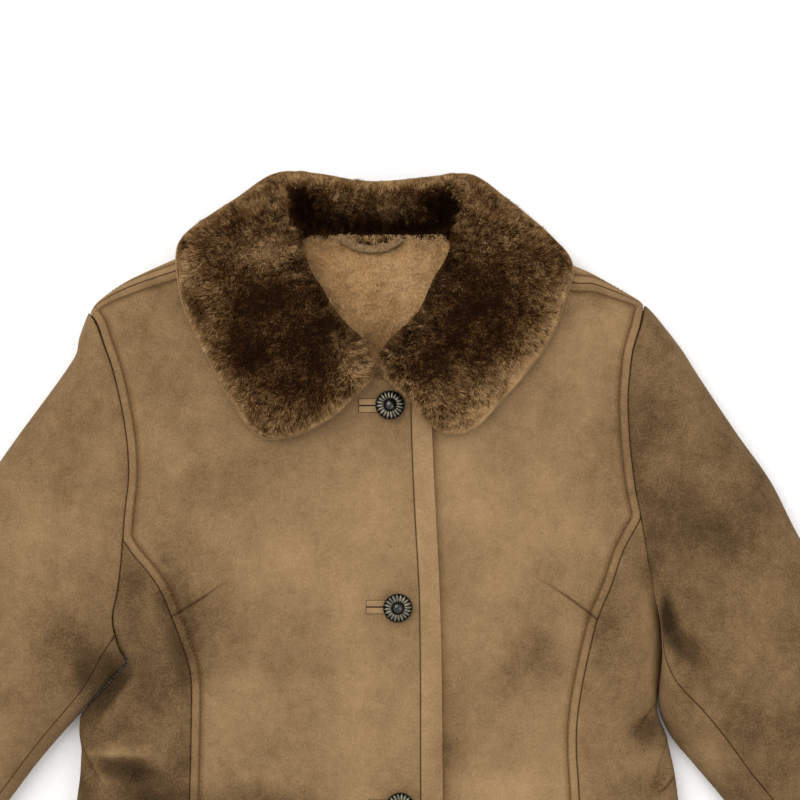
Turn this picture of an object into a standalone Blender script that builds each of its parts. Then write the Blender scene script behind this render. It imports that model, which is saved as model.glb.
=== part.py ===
"""A suede shearling coat, laid flat on its back, buttoned, with its sleeves out to the sides.

+X is to the wearer's left, +Y towards the collar and +Z up from the surface that the coat lies on.
Every table and function here works in millimetres, and build_object turns the points into metres.
Each piece of shearling is a wall between two skins: the suede outside and the clipped wool inside.
"""

import math

import bmesh
import bpy
from mathutils import Matrix, Vector

MM = 0.001

WALL = 6.0                  # shearling: the skin with its clipped wool
SEAM_GAP = 0.3              # space left between neighbouring pieces
SEAM_SIDE = SEAM_GAP / 1.5  # how far each piece stops short of its seam's line
FOLD_Z = 12.0               # height of the folds where the front turns round to the back
UPPER_RIM = 1.4             # width of the upper rounding at a fold, as a share of its height
LOWER_RIM = 14.0            # width of the lower rounding at a fold
HEM_Y = -500.0
CROWN = 5.0                 # how much lower the front lies at its sides than in its middle
CROWN_REACH = 250.0         # and how far out that is
SLOPE_STEP = 0.5            # distance over which a skin's slope is measured
OUTLINE_STEP = 1.0          # and an outline's
BUST = {"x": 118.0, "y": 165.0, "reach_x": 60.0, "reach_y": 85.0, "height": 5.0}

LAP_RISE = {"start": -100.0, "full": -30.0}   # x over which the right front climbs onto the left
LAP_CLEARANCE = 0.9
UNDER_LAP_X = -25.0         # edge of the left front, beneath the right one
NECK_X = 76.0               # where the shoulder seams meet the collar
SHOULDER_COLUMNS = (0.0, 0.03, 0.09, 0.2, 0.4, 0.6, 0.8, 1.0)
NECK_COLUMNS = 4

LEATHER = 1.2               # the collar's own skin, which shows as its light edge
FUR_GAP = 1.3               # space between the skin and the fur, whose points fall between each other
LEATHER_SHOWS = 1.2         # how far the skin stands out past the fur
BUTTON = {"radius": 11.5, "thickness": 6.0, "segments": 14, "tilt": 7.0, "clearance": 0.2}
# The button's half section: each corner's distance out and height, as shares of its radius and thickness.
BUTTON_PROFILE = ((0, 0), (0.86, 0), (1, 0.3), (0.93, 0.55), (0.42, 0.72), (0.34, 1), (0, 1))
WELT = {"length": 27.0, "width": 4.6, "thickness": 0.9, "apart": 1.0, "past_button": 3.0}
LOOP = {"width": 6.0, "thickness": 1.4}


class Table:
    """Rows of named columns, read between its rows along a smooth curve."""

    def __init__(self, columns, *rows):
        self.columns = columns.split()
        self.rows = sorted(rows)

    def read(self, column, key):
        keys = [row[0] for row in self.rows]
        values = [row[self.columns.index(column)] for row in self.rows]
        if key <= keys[0]:
            return values[0]
        if key >= keys[-1]:
            return values[-1]
        i = max(k for k in range(len(keys) - 1) if keys[k] <= key)
        span = keys[i + 1] - keys[i]
        t = (key - keys[i]) / span
        slopes = [self.slope(keys, values, k) * span for k in (i, i + 1)]
        return ((2 * t**3 - 3 * t**2 + 1) * values[i] + (t**3 - 2 * t**2 + t) * slopes[0]
                + (3 * t**2 - 2 * t**3) * values[i + 1] + (t**3 - t**2) * slopes[1])

    @staticmethod
    def slope(keys, values, k):
        low, high = max(k - 1, 0), min(k + 1, len(keys) - 1)
        return (values[high] - values[low]) / (keys[high] - keys[low])


# The two sides of the coat, measured outwards from its middle line.
SIDES = {
    "right": {
        "sign": -1.0,
        "shoulder_tip": (226.0, 389.5),
        "underarm": (196.0, 113.0),
        "princess_top": 0.645,          # share of the armhole above the princess seam
        "armhole": Table("y x", (390, 226.2), (381, 219), (363, 212.5), (348, 207), (324, 200.8),
                         (303, 196.6), (282, 193.9), (260, 193.3), (236, 195.8), (213, 197.8),
                         (193, 199.3), (171, 202), (150, 206), (130, 203), (113, 196)),
        "fold": Table("y x", (HEM_Y, 300), (-300, 277), (-145, 257), (-60, 244), (5, 237),
                      (22, 234.7), (37, 233.6), (45, 233.2), (57, 234.7), (70, 233.8), (76, 230.6),
                      (84, 223.2), (98, 210), (113, 196)),
        "princess": Table("y x", (HEM_Y, 172), (-300, 160), (-145, 151), (-60, 147), (9, 146), (49, 145),
                          (78, 144.3), (101, 144.3), (114, 146.3), (135, 153), (153, 160), (172, 168),
                          (187, 178.4), (199, 188.8), (211, 197.5)),
        "shoulder": Table("x y drop", (60, 466, 11), (110, 450, 11), (156, 433.5, 11), (171, 427.2, 9.5),
                          (183.4, 421.6, 8), (196, 415.3, 6.5), (208.6, 406.6, 3.5), (221, 396.2, 1),
                          (226, 389.5, 0)),
        "sleeve": Table("v outer_x outer_y lower_x lower_y height seam",
                        (0.0, 226, 389.5, 196.6, 112, 34, 1), (0.06, 234, 370, 214.3, 94.2, 36, 0.85),
                        (0.12, 240, 352, 233, 74.0, 38, 0.7), (0.25, 285.5, 289, 265, 37.5, 40, 0.65),
                        (0.4, 335, 219, 300, -8, 40, 0.65), (0.7, 448, 66, 380, -99, 36, 0.65),
                        (1.0, 562, -88, 457, -178, 30, 0.65)),
    },
    "left": {
        "sign": 1.0,
        "shoulder_tip": (211.0, 395.5),
        "underarm": (225.5, 158.0),
        "princess_top": 0.705,
        "armhole": Table("y x", (395.5, 211), (378, 206.5), (360, 201), (343, 198.5), (320, 196.8),
                         (297, 197.7), (276, 199.5), (251, 202.6), (235, 206), (207, 211),
                         (190, 214), (180, 217), (171, 221), (158, 225.5)),
        "fold": Table("y x", (HEM_Y, 300), (-300, 278), (-145, 258), (-60, 246), (8, 238.7), (28, 235.8),
                      (47, 231.6), (57, 229.4), (66, 225), (75, 222), (86, 221.8), (100, 223), (118, 224.5),
                      (136, 225.8), (158, 225.5)),
        "princess": Table("y x", (HEM_Y, 180), (-300, 170), (-145, 163), (-60, 160), (8.6, 159), (46, 156.8),
                          (68.7, 157.2), (97, 161), (125, 166.7), (150, 173), (176, 183.7),
                          (203, 193), (227.5, 206.5)),
        "shoulder": Table("x y drop", (60, 466, 15), (110, 447, 15), (154, 427.8, 15), (170, 421, 9),
                          (183, 413.7, 6), (195.5, 406, 3), (206.5, 399.2, 1), (211, 395.5, 0)),
        "sleeve": Table("v outer_x outer_y lower_x lower_y height seam",
                        (0.0, 211, 395.5, 227.1, 157.5, 34, 1), (0.06, 223.5, 382.5, 225.8, 118, 36, 1.4),
                        (0.12, 241, 361, 223, 80, 38, 1.8), (0.16, 254, 340.5, 230.9, 58, 39, 1.9),
                        (0.25, 285, 294, 250, 34, 40, 2.1), (0.32, 311.5, 256.5, 267, 14, 40, 2.1),
                        (0.4, 337, 208, 285, -8, 40, 2.1), (0.7, 446, 54, 361, -94, 36, 2.1),
                        (1.0, 556, -100, 439, -178, 30, 2.1)),
    },
}

# Height of the front's upper skin along the middle line.
FRONT_HEIGHT = Table("y z", (HEM_Y, 27), (-300, 29), (-150, 31), (0, 31), (60, 31.5), (160, 36),
                     (260, 37), (330, 36), (390, 31), (470, 28))

# The neckline of the fronts, from the shoulder seam to the edge of the right front's lap.
NECKLINE = ((-76, 449), (-71, 424), (-60, 396), (-43, 370), (-20, 348), (2, 337), (27, 333))
NECKLINE_LEFT = ((76, 445), (71, 424), (60, 398), (44, 374), (28, 352), (4, 336), (-25, 332))
BAND = Table("y seam edge", (HEM_Y, 36, 54), (8, 34.6, 52), (125, 34.3, 50.8), (180, 33.1, 49),
             (218, 30.9, 47.2), (255, 29, 45.2), (296, 27.5, 43.5), (333, 27, 42.5))
BACK_NECK_Y = 452.0
PAST_TIP_SLOPE = 1.3        # how steeply the shoulder's line runs on past the armhole
PAST_NECK_SLOPE = 1.5       # and past the neck
BACK_WRAP = (0.15, 0.5, 1.0)    # the back's rows over the shoulder's fold, as shares of its drop

# The armhole's points, as shares of its depth from the shoulder: the front's half and the back's.
FRONT_ARMHOLE = (0.0, 0.02, 0.06, 0.13, 0.25, 0.38, 0.52, None, 0.8, 0.92, 0.98, 1.0)
BACK_ARMHOLE = (0.0, 0.02, 0.06, 0.14, 0.3, 0.5, 0.7, 0.92, 0.98, 1.0)
BACK_SLEEVE_SEAM = 4        # the back armhole's point where the two sleeve pieces meet
FRONT_SLEEVE_SEAM = 9       # and the front armhole's
SLEEVE_ROWS = (0.0, 0.03, 0.07, 0.12, 0.2, 0.32, 0.48, 0.65, 0.83, 1.0)
SLEEVE_BLEND = 0.12         # length over which the sleeve's head takes its own section
LEAST_SLANT = 0.55          # the head's sections lie nearly along its edges, and this keeps them round
HEAD_RUN = 0.02             # part of the sleeve's length over which its edges' direction is measured
TURN_STEP = 0.004           # and over which its skin's is
FOLD_ROWS = 15              # rows of the body below the underarm
# How the rows of a panel crowd towards its upper end, where 1 would space them evenly.
CROWDING = {"princess": 1.15, "fold": 1.25, "edge": 1.1}
SIDE_COLUMNS = (0.0, 0.3, 0.55, 0.75, 0.88, 0.96, 1.0)

# The collar's sections, from its right end round the neck: where it starts and ends, how thick its
# fur is, and how much of it is the stand that rises inside the neck.
COLLAR = Table(
    "n inner_x inner_y outer_x outer_y fur stand",
    (0, -0.8, 345, -2.5, 337, 12, 0), (1, -4.5, 357, -17, 323, 21, 0), (2, -11, 369, -31, 310, 24, 0),
    (3, -24, 381, -46, 300, 24, 0), (4, -34, 394, -66, 292.5, 24, 0), (5, -42, 408, -88, 292, 24, 0),
    (6, -50, 421, -107, 311, 24, 0), (7, -55.5, 434, -131, 354, 24, 0), (8, -60, 445, -150, 394, 24, 0.1),
    (9, -61.5, 454, -156, 436, 24, 0.2), (10, -61.5, 456.5, -146, 456.5, 26, 0.35),
    (11, -59.5, 459, -110, 481, 28, 0.55), (12, -52, 457, -80, 500, 22, 0.8), (13, -35, 453, -48, 500, 36, 1),
    (14, -15, 452.5, -20, 495, 36, 1), (15, 0, 452.5, 0, 493.5, 36, 1), (16, 15, 452.5, 20, 494.8, 36, 1),
    (17, 35, 453, 45, 497.5, 36, 1), (18, 52, 457, 75, 499, 22, 0.8), (19, 58, 459, 100, 482.5, 28, 0.55),
    (20, 60, 456.5, 133, 455, 26, 0.35), (21, 59.5, 454, 153, 428, 24, 0.2), (22, 58, 440, 147, 398, 24, 0.1),
    (23, 52, 427, 135, 367, 24, 0), (24, 45, 415, 116, 341, 24, 0), (25, 39, 402, 96, 318, 24, 0),
    (26, 32, 388, 77, 299, 24, 0), (27, 22, 378, 57, 294.3, 24, 0), (28, 13, 370, 41, 303, 24, 0),
    (29, 6.5, 362, 25, 321.5, 21, 0), (30, 3.2, 356, 6.5, 338.5, 12, 0))
COLLAR_ACROSS = 7
DRAPE_REACH = 12.0          # how far the collar's underside clears the shoulder's edge
COLLAR_CLEARANCE = 1.0      # and how far it clears the cloth below
DRAPE = {"y": 380.0, "ease": 40.0, "fall": 16.0}    # where it does so, and over what distances
LAP_EASE = 30.0             # distance over which it comes down past the lap's edge
# Where the collar stands up inside the neck, and the distances over which it starts to.
STAND = {"x": 50.0, "ease_x": 15.0, "y": 425.0, "ease_y": 20.0}
ROLL = {"lean": 0.62, "fullness": 0.8}    # the stand's rolled section: how far out its top is, and how round
TIP_RELIEF = 1.5            # extra room at both ends of the armhole, where its two halves meet

BUTTONS = Table("number x y turn", (1, 10.7, 316.3, 150), (2, 16.7, 159.9, 40), (3, 18.2, 4, 100),
                (4, 18.8, -152, 20))
LOOP_PATH = ((-29.5, 450.5), (-25, 446.5), (-16.5, 441.7), (-6, 439.8), (7, 440.6), (15.5, 445), (20, 449))


def smooth(t):
    """0 below 0, 1 above 1, and an even ramp between."""
    t = min(max(t, 0.0), 1.0)
    return t * t * (3 - 2 * t)


def mix(a, b, t):
    return a + (b - a) * t


def side_of(x):
    return SIDES["left" if x > 0 else "right"]


def fold_x(side, y):
    """Half the body's width. Above the underarm it opens out again, so that the fold ends there."""
    x, top = side["underarm"]
    return side["fold"].read("x", y) if y <= top else x + (y - top)


def shoulder_y(side, x):
    rows = side["shoulder"].rows
    if x > rows[-1][0]:
        return rows[-1][1] - PAST_TIP_SLOPE * (x - rows[-1][0])
    if x < NECK_X:
        return shoulder_y(side, NECK_X) + PAST_NECK_SLOPE * (NECK_X - x)
    return side["shoulder"].read("y", x)


def edge_distances(x, y):
    """How far a point lies inside the side fold and inside the shoulder's fold."""
    side, step = side_of(x), OUTLINE_STEP
    out = abs(x)
    side_slope = (fold_x(side, y + step) - fold_x(side, y - step)) / (2 * step)
    top_slope = (shoulder_y(side, out + step) - shoulder_y(side, out - step)) / (2 * step)
    return ((fold_x(side, y) - out) / math.hypot(1, side_slope),
            (shoulder_y(side, out) - y) / math.hypot(1, top_slope))


def rounding(distances, reach):
    """0 on the level part of a skin, 1 on its folded edge."""
    return min(1.0, sum(max(0.0, 1 - max(d, 0.0) / reach) ** 2 for d in distances))


def plateau(x, y, lap):
    """Height of the upper skin away from its edges, with the right front's climb onto the left."""
    bump = math.exp(-((abs(x) - BUST["x"]) / BUST["reach_x"]) ** 2 - ((y - BUST["y"]) / BUST["reach_y"]) ** 2)
    crown = CROWN * (min(abs(x), CROWN_REACH) / CROWN_REACH) ** 2
    height = FRONT_HEIGHT.read("z", y) - crown + BUST["height"] * bump
    rise = smooth((x - LAP_RISE["start"]) / (LAP_RISE["full"] - LAP_RISE["start"]))
    return height + lap * (WALL + LAP_CLEARANCE) * rise


def upper_skin(x, y, lap=0.0):
    """A point of the body's upper suede, and the direction that it faces."""
    height = plateau(x, y, lap) - FOLD_Z
    reach = UPPER_RIM * height
    level = math.sqrt(1 - rounding(edge_distances(x, y), reach))
    step = SLOPE_STEP
    slope = []
    for dx, dy in ((step, 0), (0, step)):
        ahead, behind = plateau(x + dx, y + dy, lap), plateau(x - dx, y - dy, lap)
        turn = (rounding(edge_distances(x + dx, y + dy), reach)
                - rounding(edge_distances(x - dx, y - dy), reach))
        slope.append((height * turn - 2 * level**2 * (ahead - behind)) / (2 * step))
    z = FOLD_Z + SEAM_GAP / 2 + height * level
    return Vector((x, y, z)), Vector((slope[0], slope[1], 2 * level)).normalized()


def lower_skin(x, y):
    """A point of the body's underside, which is level except at its folds."""
    level = math.sqrt(1 - rounding(edge_distances(x, y), LOWER_RIM))
    height = FOLD_Z - SEAM_GAP / 2
    step = SLOPE_STEP
    slope = []
    for dx, dy in ((step, 0), (0, step)):
        ahead = rounding(edge_distances(x + dx, y + dy), LOWER_RIM)
        behind = rounding(edge_distances(x - dx, y - dy), LOWER_RIM)
        slope.append(height * (ahead - behind) / (2 * step))
    return Vector((x, y, height * (1 - level))), Vector((slope[0], slope[1], -2 * level)).normalized()


def inside(skin, depth=WALL):
    point, facing = skin
    return point - facing * depth


def armhole_stations(side):
    return [side["princess_top"] if share is None else share for share in FRONT_ARMHOLE]


def armhole_plan(side, share, nudge=0.0):
    """A point of the armhole's line, share of the way down from the shoulder, moved out by nudge."""
    y = mix(side["shoulder_tip"][1], side["underarm"][1], share)
    return side["sign"] * (side["armhole"].read("x", y) + nudge), y


def princess_rows(side):
    """The heights at which the princess seam has its points."""
    top = armhole_plan(side, side["princess_top"])[1]
    count = FOLD_ROWS + len(FRONT_ARMHOLE) - 1 - FRONT_ARMHOLE.index(None)
    return [mix(top, HEM_Y, (i / count) ** CROWDING["princess"]) for i in range(count + 1)]


def fold_rows(side):
    return [mix(side["underarm"][1], HEM_Y, (i / FOLD_ROWS) ** CROWDING["fold"]) for i in range(FOLD_ROWS + 1)]


def shoulder_plan(side, share, nudge=0.0):
    """A point of the shoulder seam, from the shoulder's tip to the neck."""
    out = mix(side["shoulder_tip"][0], NECK_X, share)
    drop = side["shoulder"].read("drop", out) + nudge
    return side["sign"] * out, side["shoulder"].read("y", out) - max(drop, 0.0)


def along(points, share):
    """A point part of the way along a run of points."""
    lengths = [math.dist(a, b) for a, b in zip(points, points[1:])]
    left = share * sum(lengths)
    for (a, b), length in zip(zip(points, points[1:]), lengths):
        if left <= length:
            return mix(a[0], b[0], left / length), mix(a[1], b[1], left / length)
        left -= length
    return points[-1]


def front_rows(side, neckline, edge):
    """The ends of each row of a front: on its outer seam, and on its neckline or front edge."""
    upper = armhole_stations(side)[:FRONT_ARMHOLE.index(None)]
    outer = [armhole_plan(side, share, -SEAM_SIDE) for share in upper]
    outer += [(side["sign"] * (side["princess"].read("x", y) - SEAM_SIDE), y) for y in princess_rows(side)]
    outer[0] = (outer[0][0], outer[0][1] - SEAM_GAP)
    inner = [along(neckline, i / len(upper)) for i in range(len(upper))]
    below = len(princess_rows(side))
    top = neckline[-1][1]
    heights = [mix(top, HEM_Y, (i / (below - 1)) ** CROWDING["edge"]) for i in range(below)]
    inner += [(edge(y), y) for y in heights]
    return outer, inner


def front_grid(side_name, neckline, edge, lap):
    """The two skins of a front: rows run from its outer seam to its neckline or front edge."""
    side = SIDES[side_name]
    outer, inner = front_rows(side, neckline, edge)
    top = [shoulder_plan(side, share, SEAM_GAP) for share in SHOULDER_COLUMNS]
    top[0] = outer[0]
    skins = []
    for row, (start, end) in enumerate(zip(outer, inner)):
        fade = max(0.0, 1 - row / FRONT_ARMHOLE.index(None)) ** 2
        line = []
        for column, share in enumerate(SHOULDER_COLUMNS):
            x, y = mix(start[0], end[0], share), mix(start[1], end[1], share)
            straight = (mix(outer[0][0], inner[0][0], share), mix(outer[0][1], inner[0][1], share))
            x += (top[column][0] - straight[0]) * fade
            y += (top[column][1] - straight[1]) * fade
            line.append(upper_skin(x, y, lap))
        skins.append(line)
    return skins


def side_grid(side_name):
    """The side front: from the princess seam out to the armhole and the side fold."""
    side = SIDES[side_name]
    inner = [(side["sign"] * (side["princess"].read("x", y) + SEAM_SIDE), y) for y in princess_rows(side)]
    stations = armhole_stations(side)[FRONT_ARMHOLE.index(None):]
    outer = [armhole_plan(side, share, -SEAM_SIDE) for share in stations]
    outer += [(side["sign"] * side["fold"].read("x", y), y) for y in fold_rows(side)[1:]]
    outer[0] = inner[0]
    return [[upper_skin(mix(a[0], b[0], u), mix(a[1], b[1], u)) for u in SIDE_COLUMNS]
            for a, b in zip(inner, outer)]


def back_grid():
    """The back: its rows run from the right side to the left, up from the hem and over the shoulders."""
    right, left = SIDES["right"], SIDES["left"]
    tips = -right["shoulder_tip"][0], left["shoulder_tip"][0]
    top_x = [mix(tips[0], -NECK_X, share) for share in SHOULDER_COLUMNS]
    top_x += [mix(-NECK_X, NECK_X, i / NECK_COLUMNS) for i in range(1, NECK_COLUMNS)]
    top_x += [mix(tips[1], NECK_X, share) for share in reversed(SHOULDER_COLUMNS)]
    shares = [(x - tips[0]) / (tips[1] - tips[0]) for x in top_x]
    skins = []
    for y_right, y_left in zip(reversed(fold_rows(right)), reversed(fold_rows(left))):
        start, end = -right["fold"].read("x", y_right), left["fold"].read("x", y_left)
        skins.append([lower_skin(mix(start, end, s), mix(y_right, y_left, s)) for s in shares])
    for down in reversed(BACK_ARMHOLE[:-1]):
        start, end = (armhole_plan(side, down, -SEAM_SIDE) for side in (right, left))
        line = []
        for x_top, s in zip(top_x, shares):
            y_low = mix(right["underarm"][1], left["underarm"][1], s)
            line.append(lower_skin(mix(start[0], end[0], s), mix(back_top(x_top), y_low, down)))
        skins.append(line)
    for wrap in BACK_WRAP:
        line = []
        for x_top in top_x:
            if abs(x_top) < NECK_X - 1:
                line.append(lower_skin(x_top, back_top(x_top)))
                continue
            side = side_of(x_top)
            drop = max(0.0, side["shoulder"].read("drop", abs(x_top)) * wrap - SEAM_GAP / 2)
            line.append(upper_skin(x_top, back_top(x_top) - drop) if drop else
                        lower_skin(x_top, back_top(x_top)))
        skins.append(line)
    return skins


def back_top(x):
    """The top edge of the back's underside: the shoulder's fold, or the neck seam."""
    if abs(x) < NECK_X - 1:
        return BACK_NECK_Y
    return side_of(x)["shoulder"].read("y", abs(x))


def sleeve_across(share, stretch):
    """Where a column lies across the sleeve: the front seam moves in from the lower edge by stretch."""
    seam, top = FRONT_ARMHOLE[FRONT_SLEEVE_SEAM], FRONT_ARMHOLE[6]
    moved = 1 - (1 - seam) * stretch
    if share >= seam:
        return 1 - (1 - share) * stretch
    return share if share <= top else mix(top, moved, (share - top) / (seam - top))


def sleeve_plan(side, v, share):
    """A sleeve's point seen from above, and its distances from the sleeve's two edges."""
    read = side["sleeve"].read
    ends = [Vector((read(end + "_x", v), read(end + "_y", v))) for end in ("outer", "lower")]
    low, high = max(v - HEAD_RUN, 0.0), min(v + HEAD_RUN, 1.0)
    runs = [Vector((read(end + "_x", high) - read(end + "_x", low), read(end + "_y", high) - read(end + "_y", low)))
            .normalized() for end in ("outer", "lower")]
    point = ends[0].lerp(ends[1], sleeve_across(share, read("seam", v)))
    distances = [max(abs((point - end).cross(run)), (point - end).length * LEAST_SLANT)
                 for end, run in zip(ends, runs)]
    return point, distances


def own_sleeve_skin(side, v, share, upper):
    """A point of the sleeve's own flattened section."""
    point, distances = sleeve_plan(side, v, share)
    if upper:
        height = side["sleeve"].read("height", v) - FOLD_Z
        level = math.sqrt(1 - rounding(distances, UPPER_RIM * height))
        return Vector((point.x, point.y, FOLD_Z + SEAM_GAP / 2 + height * level))
    level = math.sqrt(1 - rounding(distances, LOWER_RIM))
    return Vector((point.x, point.y, (FOLD_Z - SEAM_GAP / 2) * (1 - level)))


def armhole_skin(side, share, upper):
    """The body's skin where the sleeve meets it, in the side's own outward measure."""
    x, y = armhole_plan(side, share, SEAM_SIDE + TIP_RELIEF * (2 * share - 1) ** 4)
    point, facing = upper_skin(x, y) if upper else lower_skin(x, y)
    flip = Vector((side["sign"], 1, 1))
    return point * flip, facing * flip


def sleeve_point(side, v, share, upper):
    """A point of the sleeve: the armhole's line at its head, eased into its own section."""
    fade = 1 - smooth(v / SLEEVE_BLEND)
    own = own_sleeve_skin(side, v, share, upper)
    if not fade:
        return own
    start = own_sleeve_skin(side, 0.0, share, upper)
    return own + (armhole_skin(side, share, upper)[0] - start) * fade


def sleeve_skin(side, v, share, upper):
    """A point of the sleeve and the direction that it faces."""
    point = sleeve_point(side, v, share, upper)
    step = TURN_STEP
    if v == 0.0:
        facing = armhole_skin(side, share, upper)[1]
    elif share in (0.0, 1.0):
        run = sleeve_point(side, min(v + step, 1.0), share, True) - sleeve_point(side, v - step, share, True)
        facing = Vector((-run.y, run.x, 0)) if share == 1.0 else Vector((run.y, -run.x, 0))
        facing = -facing
    else:
        run = sleeve_point(side, min(v + step, 1.0), share, upper) - sleeve_point(side, v - step, share, upper)
        turn = sleeve_point(side, v, share + step, upper) - sleeve_point(side, v, share - step, upper)
        facing = run.cross(turn)
        facing = facing if (facing.z > 0) == upper else -facing
    flip = Vector((side["sign"], 1, 1))
    return point * flip, facing.normalized() * flip


def sleeve_grid(side_name, top):
    """One of the two pieces of a sleeve, as rows from its head to its cuff."""
    side = SIDES[side_name]
    front, back = armhole_stations(side), list(BACK_ARMHOLE)
    if top:
        columns = [(share, True) for share in reversed(front[:FRONT_SLEEVE_SEAM + 1])]
        columns += [(share, False) for share in back[1:BACK_SLEEVE_SEAM + 1]]
    else:
        columns = [(share, True) for share in front[FRONT_SLEEVE_SEAM:]]
        columns += [(share, False) for share in reversed(back[BACK_SLEEVE_SEAM:-1])]
    rows = []
    for v in SLEEVE_ROWS:
        line = [sleeve_skin(side, v, share, upper) for share, upper in columns]
        ends = []
        for end, near in ((0, 1), (-1, -2)):
            point, facing = line[end]
            pull = (line[near][0] - point)
            pull -= facing * pull.dot(facing)
            ends.append((point + pull.normalized() * SEAM_GAP / 2, facing))
        line[0], line[-1] = ends
        rows.append(line)
    return rows


def body_top(x, y):
    """Height of whatever lies uppermost on the body, with no step at the lap's edge."""
    past_edge = smooth((x - BAND.read("edge", y)) / LAP_EASE)
    return upper_skin(x, y, 1 - past_edge)[0].z


def drape_height(x, y):
    """The surface that the collar lies on: the fronts, then down past the shoulder to the table."""
    side = side_of(x)
    reach = DRAPE_REACH * smooth((y - DRAPE["y"]) / DRAPE["ease"])
    over = body_top(x, y - reach)
    outside = y - reach - shoulder_y(side, abs(x))
    return mix(over, SEAM_GAP, smooth(outside / DRAPE["fall"]))


def collar_section(n, t):
    """A point across the collar and its height above and below, from the neck edge to the outer edge."""
    row = {name: COLLAR.read(name, n) for name in COLLAR.columns[1:]}
    x, y = mix(row["inner_x"], row["outer_x"], t), mix(row["inner_y"], row["outer_y"], t)
    across = 1 - smooth((abs(x) - STAND["x"]) / STAND["ease_x"])
    within_neck = across * smooth((y - STAND["y"]) / STAND["ease_y"])
    floor = 0.0 if y >= BACK_NECK_Y else WALL + 1
    seat = mix(drape_height(x, y) + COLLAR_CLEARANCE, floor, within_neck) + LEATHER + FUR_GAP + SEAM_GAP
    leaf = (1 - abs(2 * t - 1) ** 3) ** 0.5
    lean = ROLL["lean"]
    roll = math.sin(math.pi * min(1.0, t * lean + (1 - lean) * t**6)) ** ROLL["fullness"] if t < 1 else 0.0
    return Vector((x, y, seat)), row["fur"] * mix(leaf, roll, row["stand"])


def collar_grids():
    """The fur's top and underside, and the collar's skin beneath it."""
    top, under, skin_top, skin_under = [], [], [], []
    for n, *_ in COLLAR.rows:
        lines = [[], [], [], []]
        for k in range(COLLAR_ACROSS + 1):
            t = (1 - math.cos(math.pi * k / COLLAR_ACROSS)) / 2
            seat, fur = collar_section(n, t)
            ends = n in (COLLAR.rows[0][0], COLLAR.rows[-1][0])
            lines[0].append(seat + Vector((0, 0, 0 if ends else fur)))
            lines[1].append(seat)
            lines[2].append(seat - Vector((0, 0, FUR_GAP)))
            lines[3].append(seat - Vector((0, 0, FUR_GAP + LEATHER)))
        for line in lines[2:]:
            line[-1] = line[-1] + (line[-1] - line[-2]).normalized() * LEATHER_SHOWS
        for store, line in zip((top, under, skin_top, skin_under), lines):
            store.append(line)
    return top, under, skin_top, skin_under


def material(name, colour, roughness, metallic=0.0):
    made = bpy.data.materials.new(name)
    made.use_nodes = True
    shader = made.node_tree.nodes["Principled BSDF"]
    shader.inputs["Base Color"].default_value = (*colour, 1)
    shader.inputs["Roughness"].default_value = roughness
    shader.inputs["Metallic"].default_value = metallic
    return made


def build_object(name, mesh, finish):
    """Turns a mesh in millimetres into a named object in metres."""
    bmesh.ops.scale(mesh, vec=(MM, MM, MM), verts=mesh.verts)
    bmesh.ops.remove_doubles(mesh, verts=mesh.verts, dist=2e-6)
    bmesh.ops.dissolve_degenerate(mesh, dist=1e-7, edges=mesh.edges)
    bmesh.ops.triangulate(mesh, faces=mesh.faces)
    bmesh.ops.recalc_face_normals(mesh, faces=mesh.faces)
    data = bpy.data.meshes.new(name)
    mesh.to_mesh(data)
    mesh.free()
    data.materials.append(finish)
    made = bpy.data.objects.new(name, data)
    bpy.context.collection.objects.link(made)
    return made


def build_wall(name, outside, within, finish):
    """A closed wall between two grids of points that have the same rows and columns."""
    rows, columns = len(outside), len(outside[0])
    mesh = bmesh.new()
    bmesh.ops.create_grid(mesh, x_segments=columns - 1, y_segments=rows - 1, size=0.5)
    lifted = bmesh.ops.extrude_face_region(mesh, geom=mesh.faces[:], use_keep_orig=True)["geom"]
    lifted = {item for item in lifted if isinstance(item, bmesh.types.BMVert)}
    for vert in mesh.verts:
        column = round((vert.co.x + 0.5) * (columns - 1))
        row = round((vert.co.y + 0.5) * (rows - 1))
        vert.co = (outside if vert in lifted else within)[row][column]
    return build_object(name, mesh, finish)


def build_shearling(name, skins, finish):
    outside = [[point for point, _ in line] for line in skins]
    within = [[inside(skin) for skin in line] for line in skins]
    return build_wall(name, outside, within, finish)


def build_band(finish):
    """The strip along the right front's edge."""
    rows = front_rows(SIDES["right"], NECKLINE, lambda y: BAND.read("seam", y))[1]
    skins = []
    for _, y in rows[FRONT_ARMHOLE.index(None):]:
        ends = BAND.read("seam", y) + SEAM_GAP, BAND.read("edge", y)
        skins.append([upper_skin(x, y, 1.0) for x in ends])
    return build_shearling("front_band_right", skins, finish)


def surface_frame(x, y, turn=0.0, tilt=0.0):
    """A place on the right front, with its Z axis along the way the suede faces."""
    point, facing = upper_skin(x, y, 1.0)
    return (Matrix.Translation(point) @ Vector((0, 0, 1)).rotation_difference(facing).to_matrix().to_4x4()
            @ Matrix.Rotation(math.radians(turn), 4, "Z") @ Matrix.Rotation(math.radians(tilt), 4, "X"))


def build_button(number, finish):
    """A cast disc with a raised centre, drawn as a stack of rings."""
    x, y, turn = (BUTTONS.read(column, number) for column in ("x", "y", "turn"))
    radius, thickness = BUTTON["radius"], BUTTON["thickness"]
    lift = SEAM_GAP + radius * math.sin(math.radians(BUTTON["tilt"])) + BUTTON["clearance"]
    mesh = bmesh.new()
    line = [mesh.verts.new((share * radius, 0, lift + height * thickness)) for share, height in BUTTON_PROFILE]
    edges = [mesh.edges.new(pair) for pair in zip(line, line[1:])]
    bmesh.ops.spin(mesh, geom=line + edges, angle=2 * math.pi, steps=BUTTON["segments"], use_merge=True,
                   axis=(0, 0, 1), cent=(0, 0, 0))
    bmesh.ops.transform(mesh, matrix=surface_frame(x, y, turn, BUTTON["tilt"]), verts=mesh.verts)
    return build_object(f"button_{number}", mesh, finish)


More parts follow.
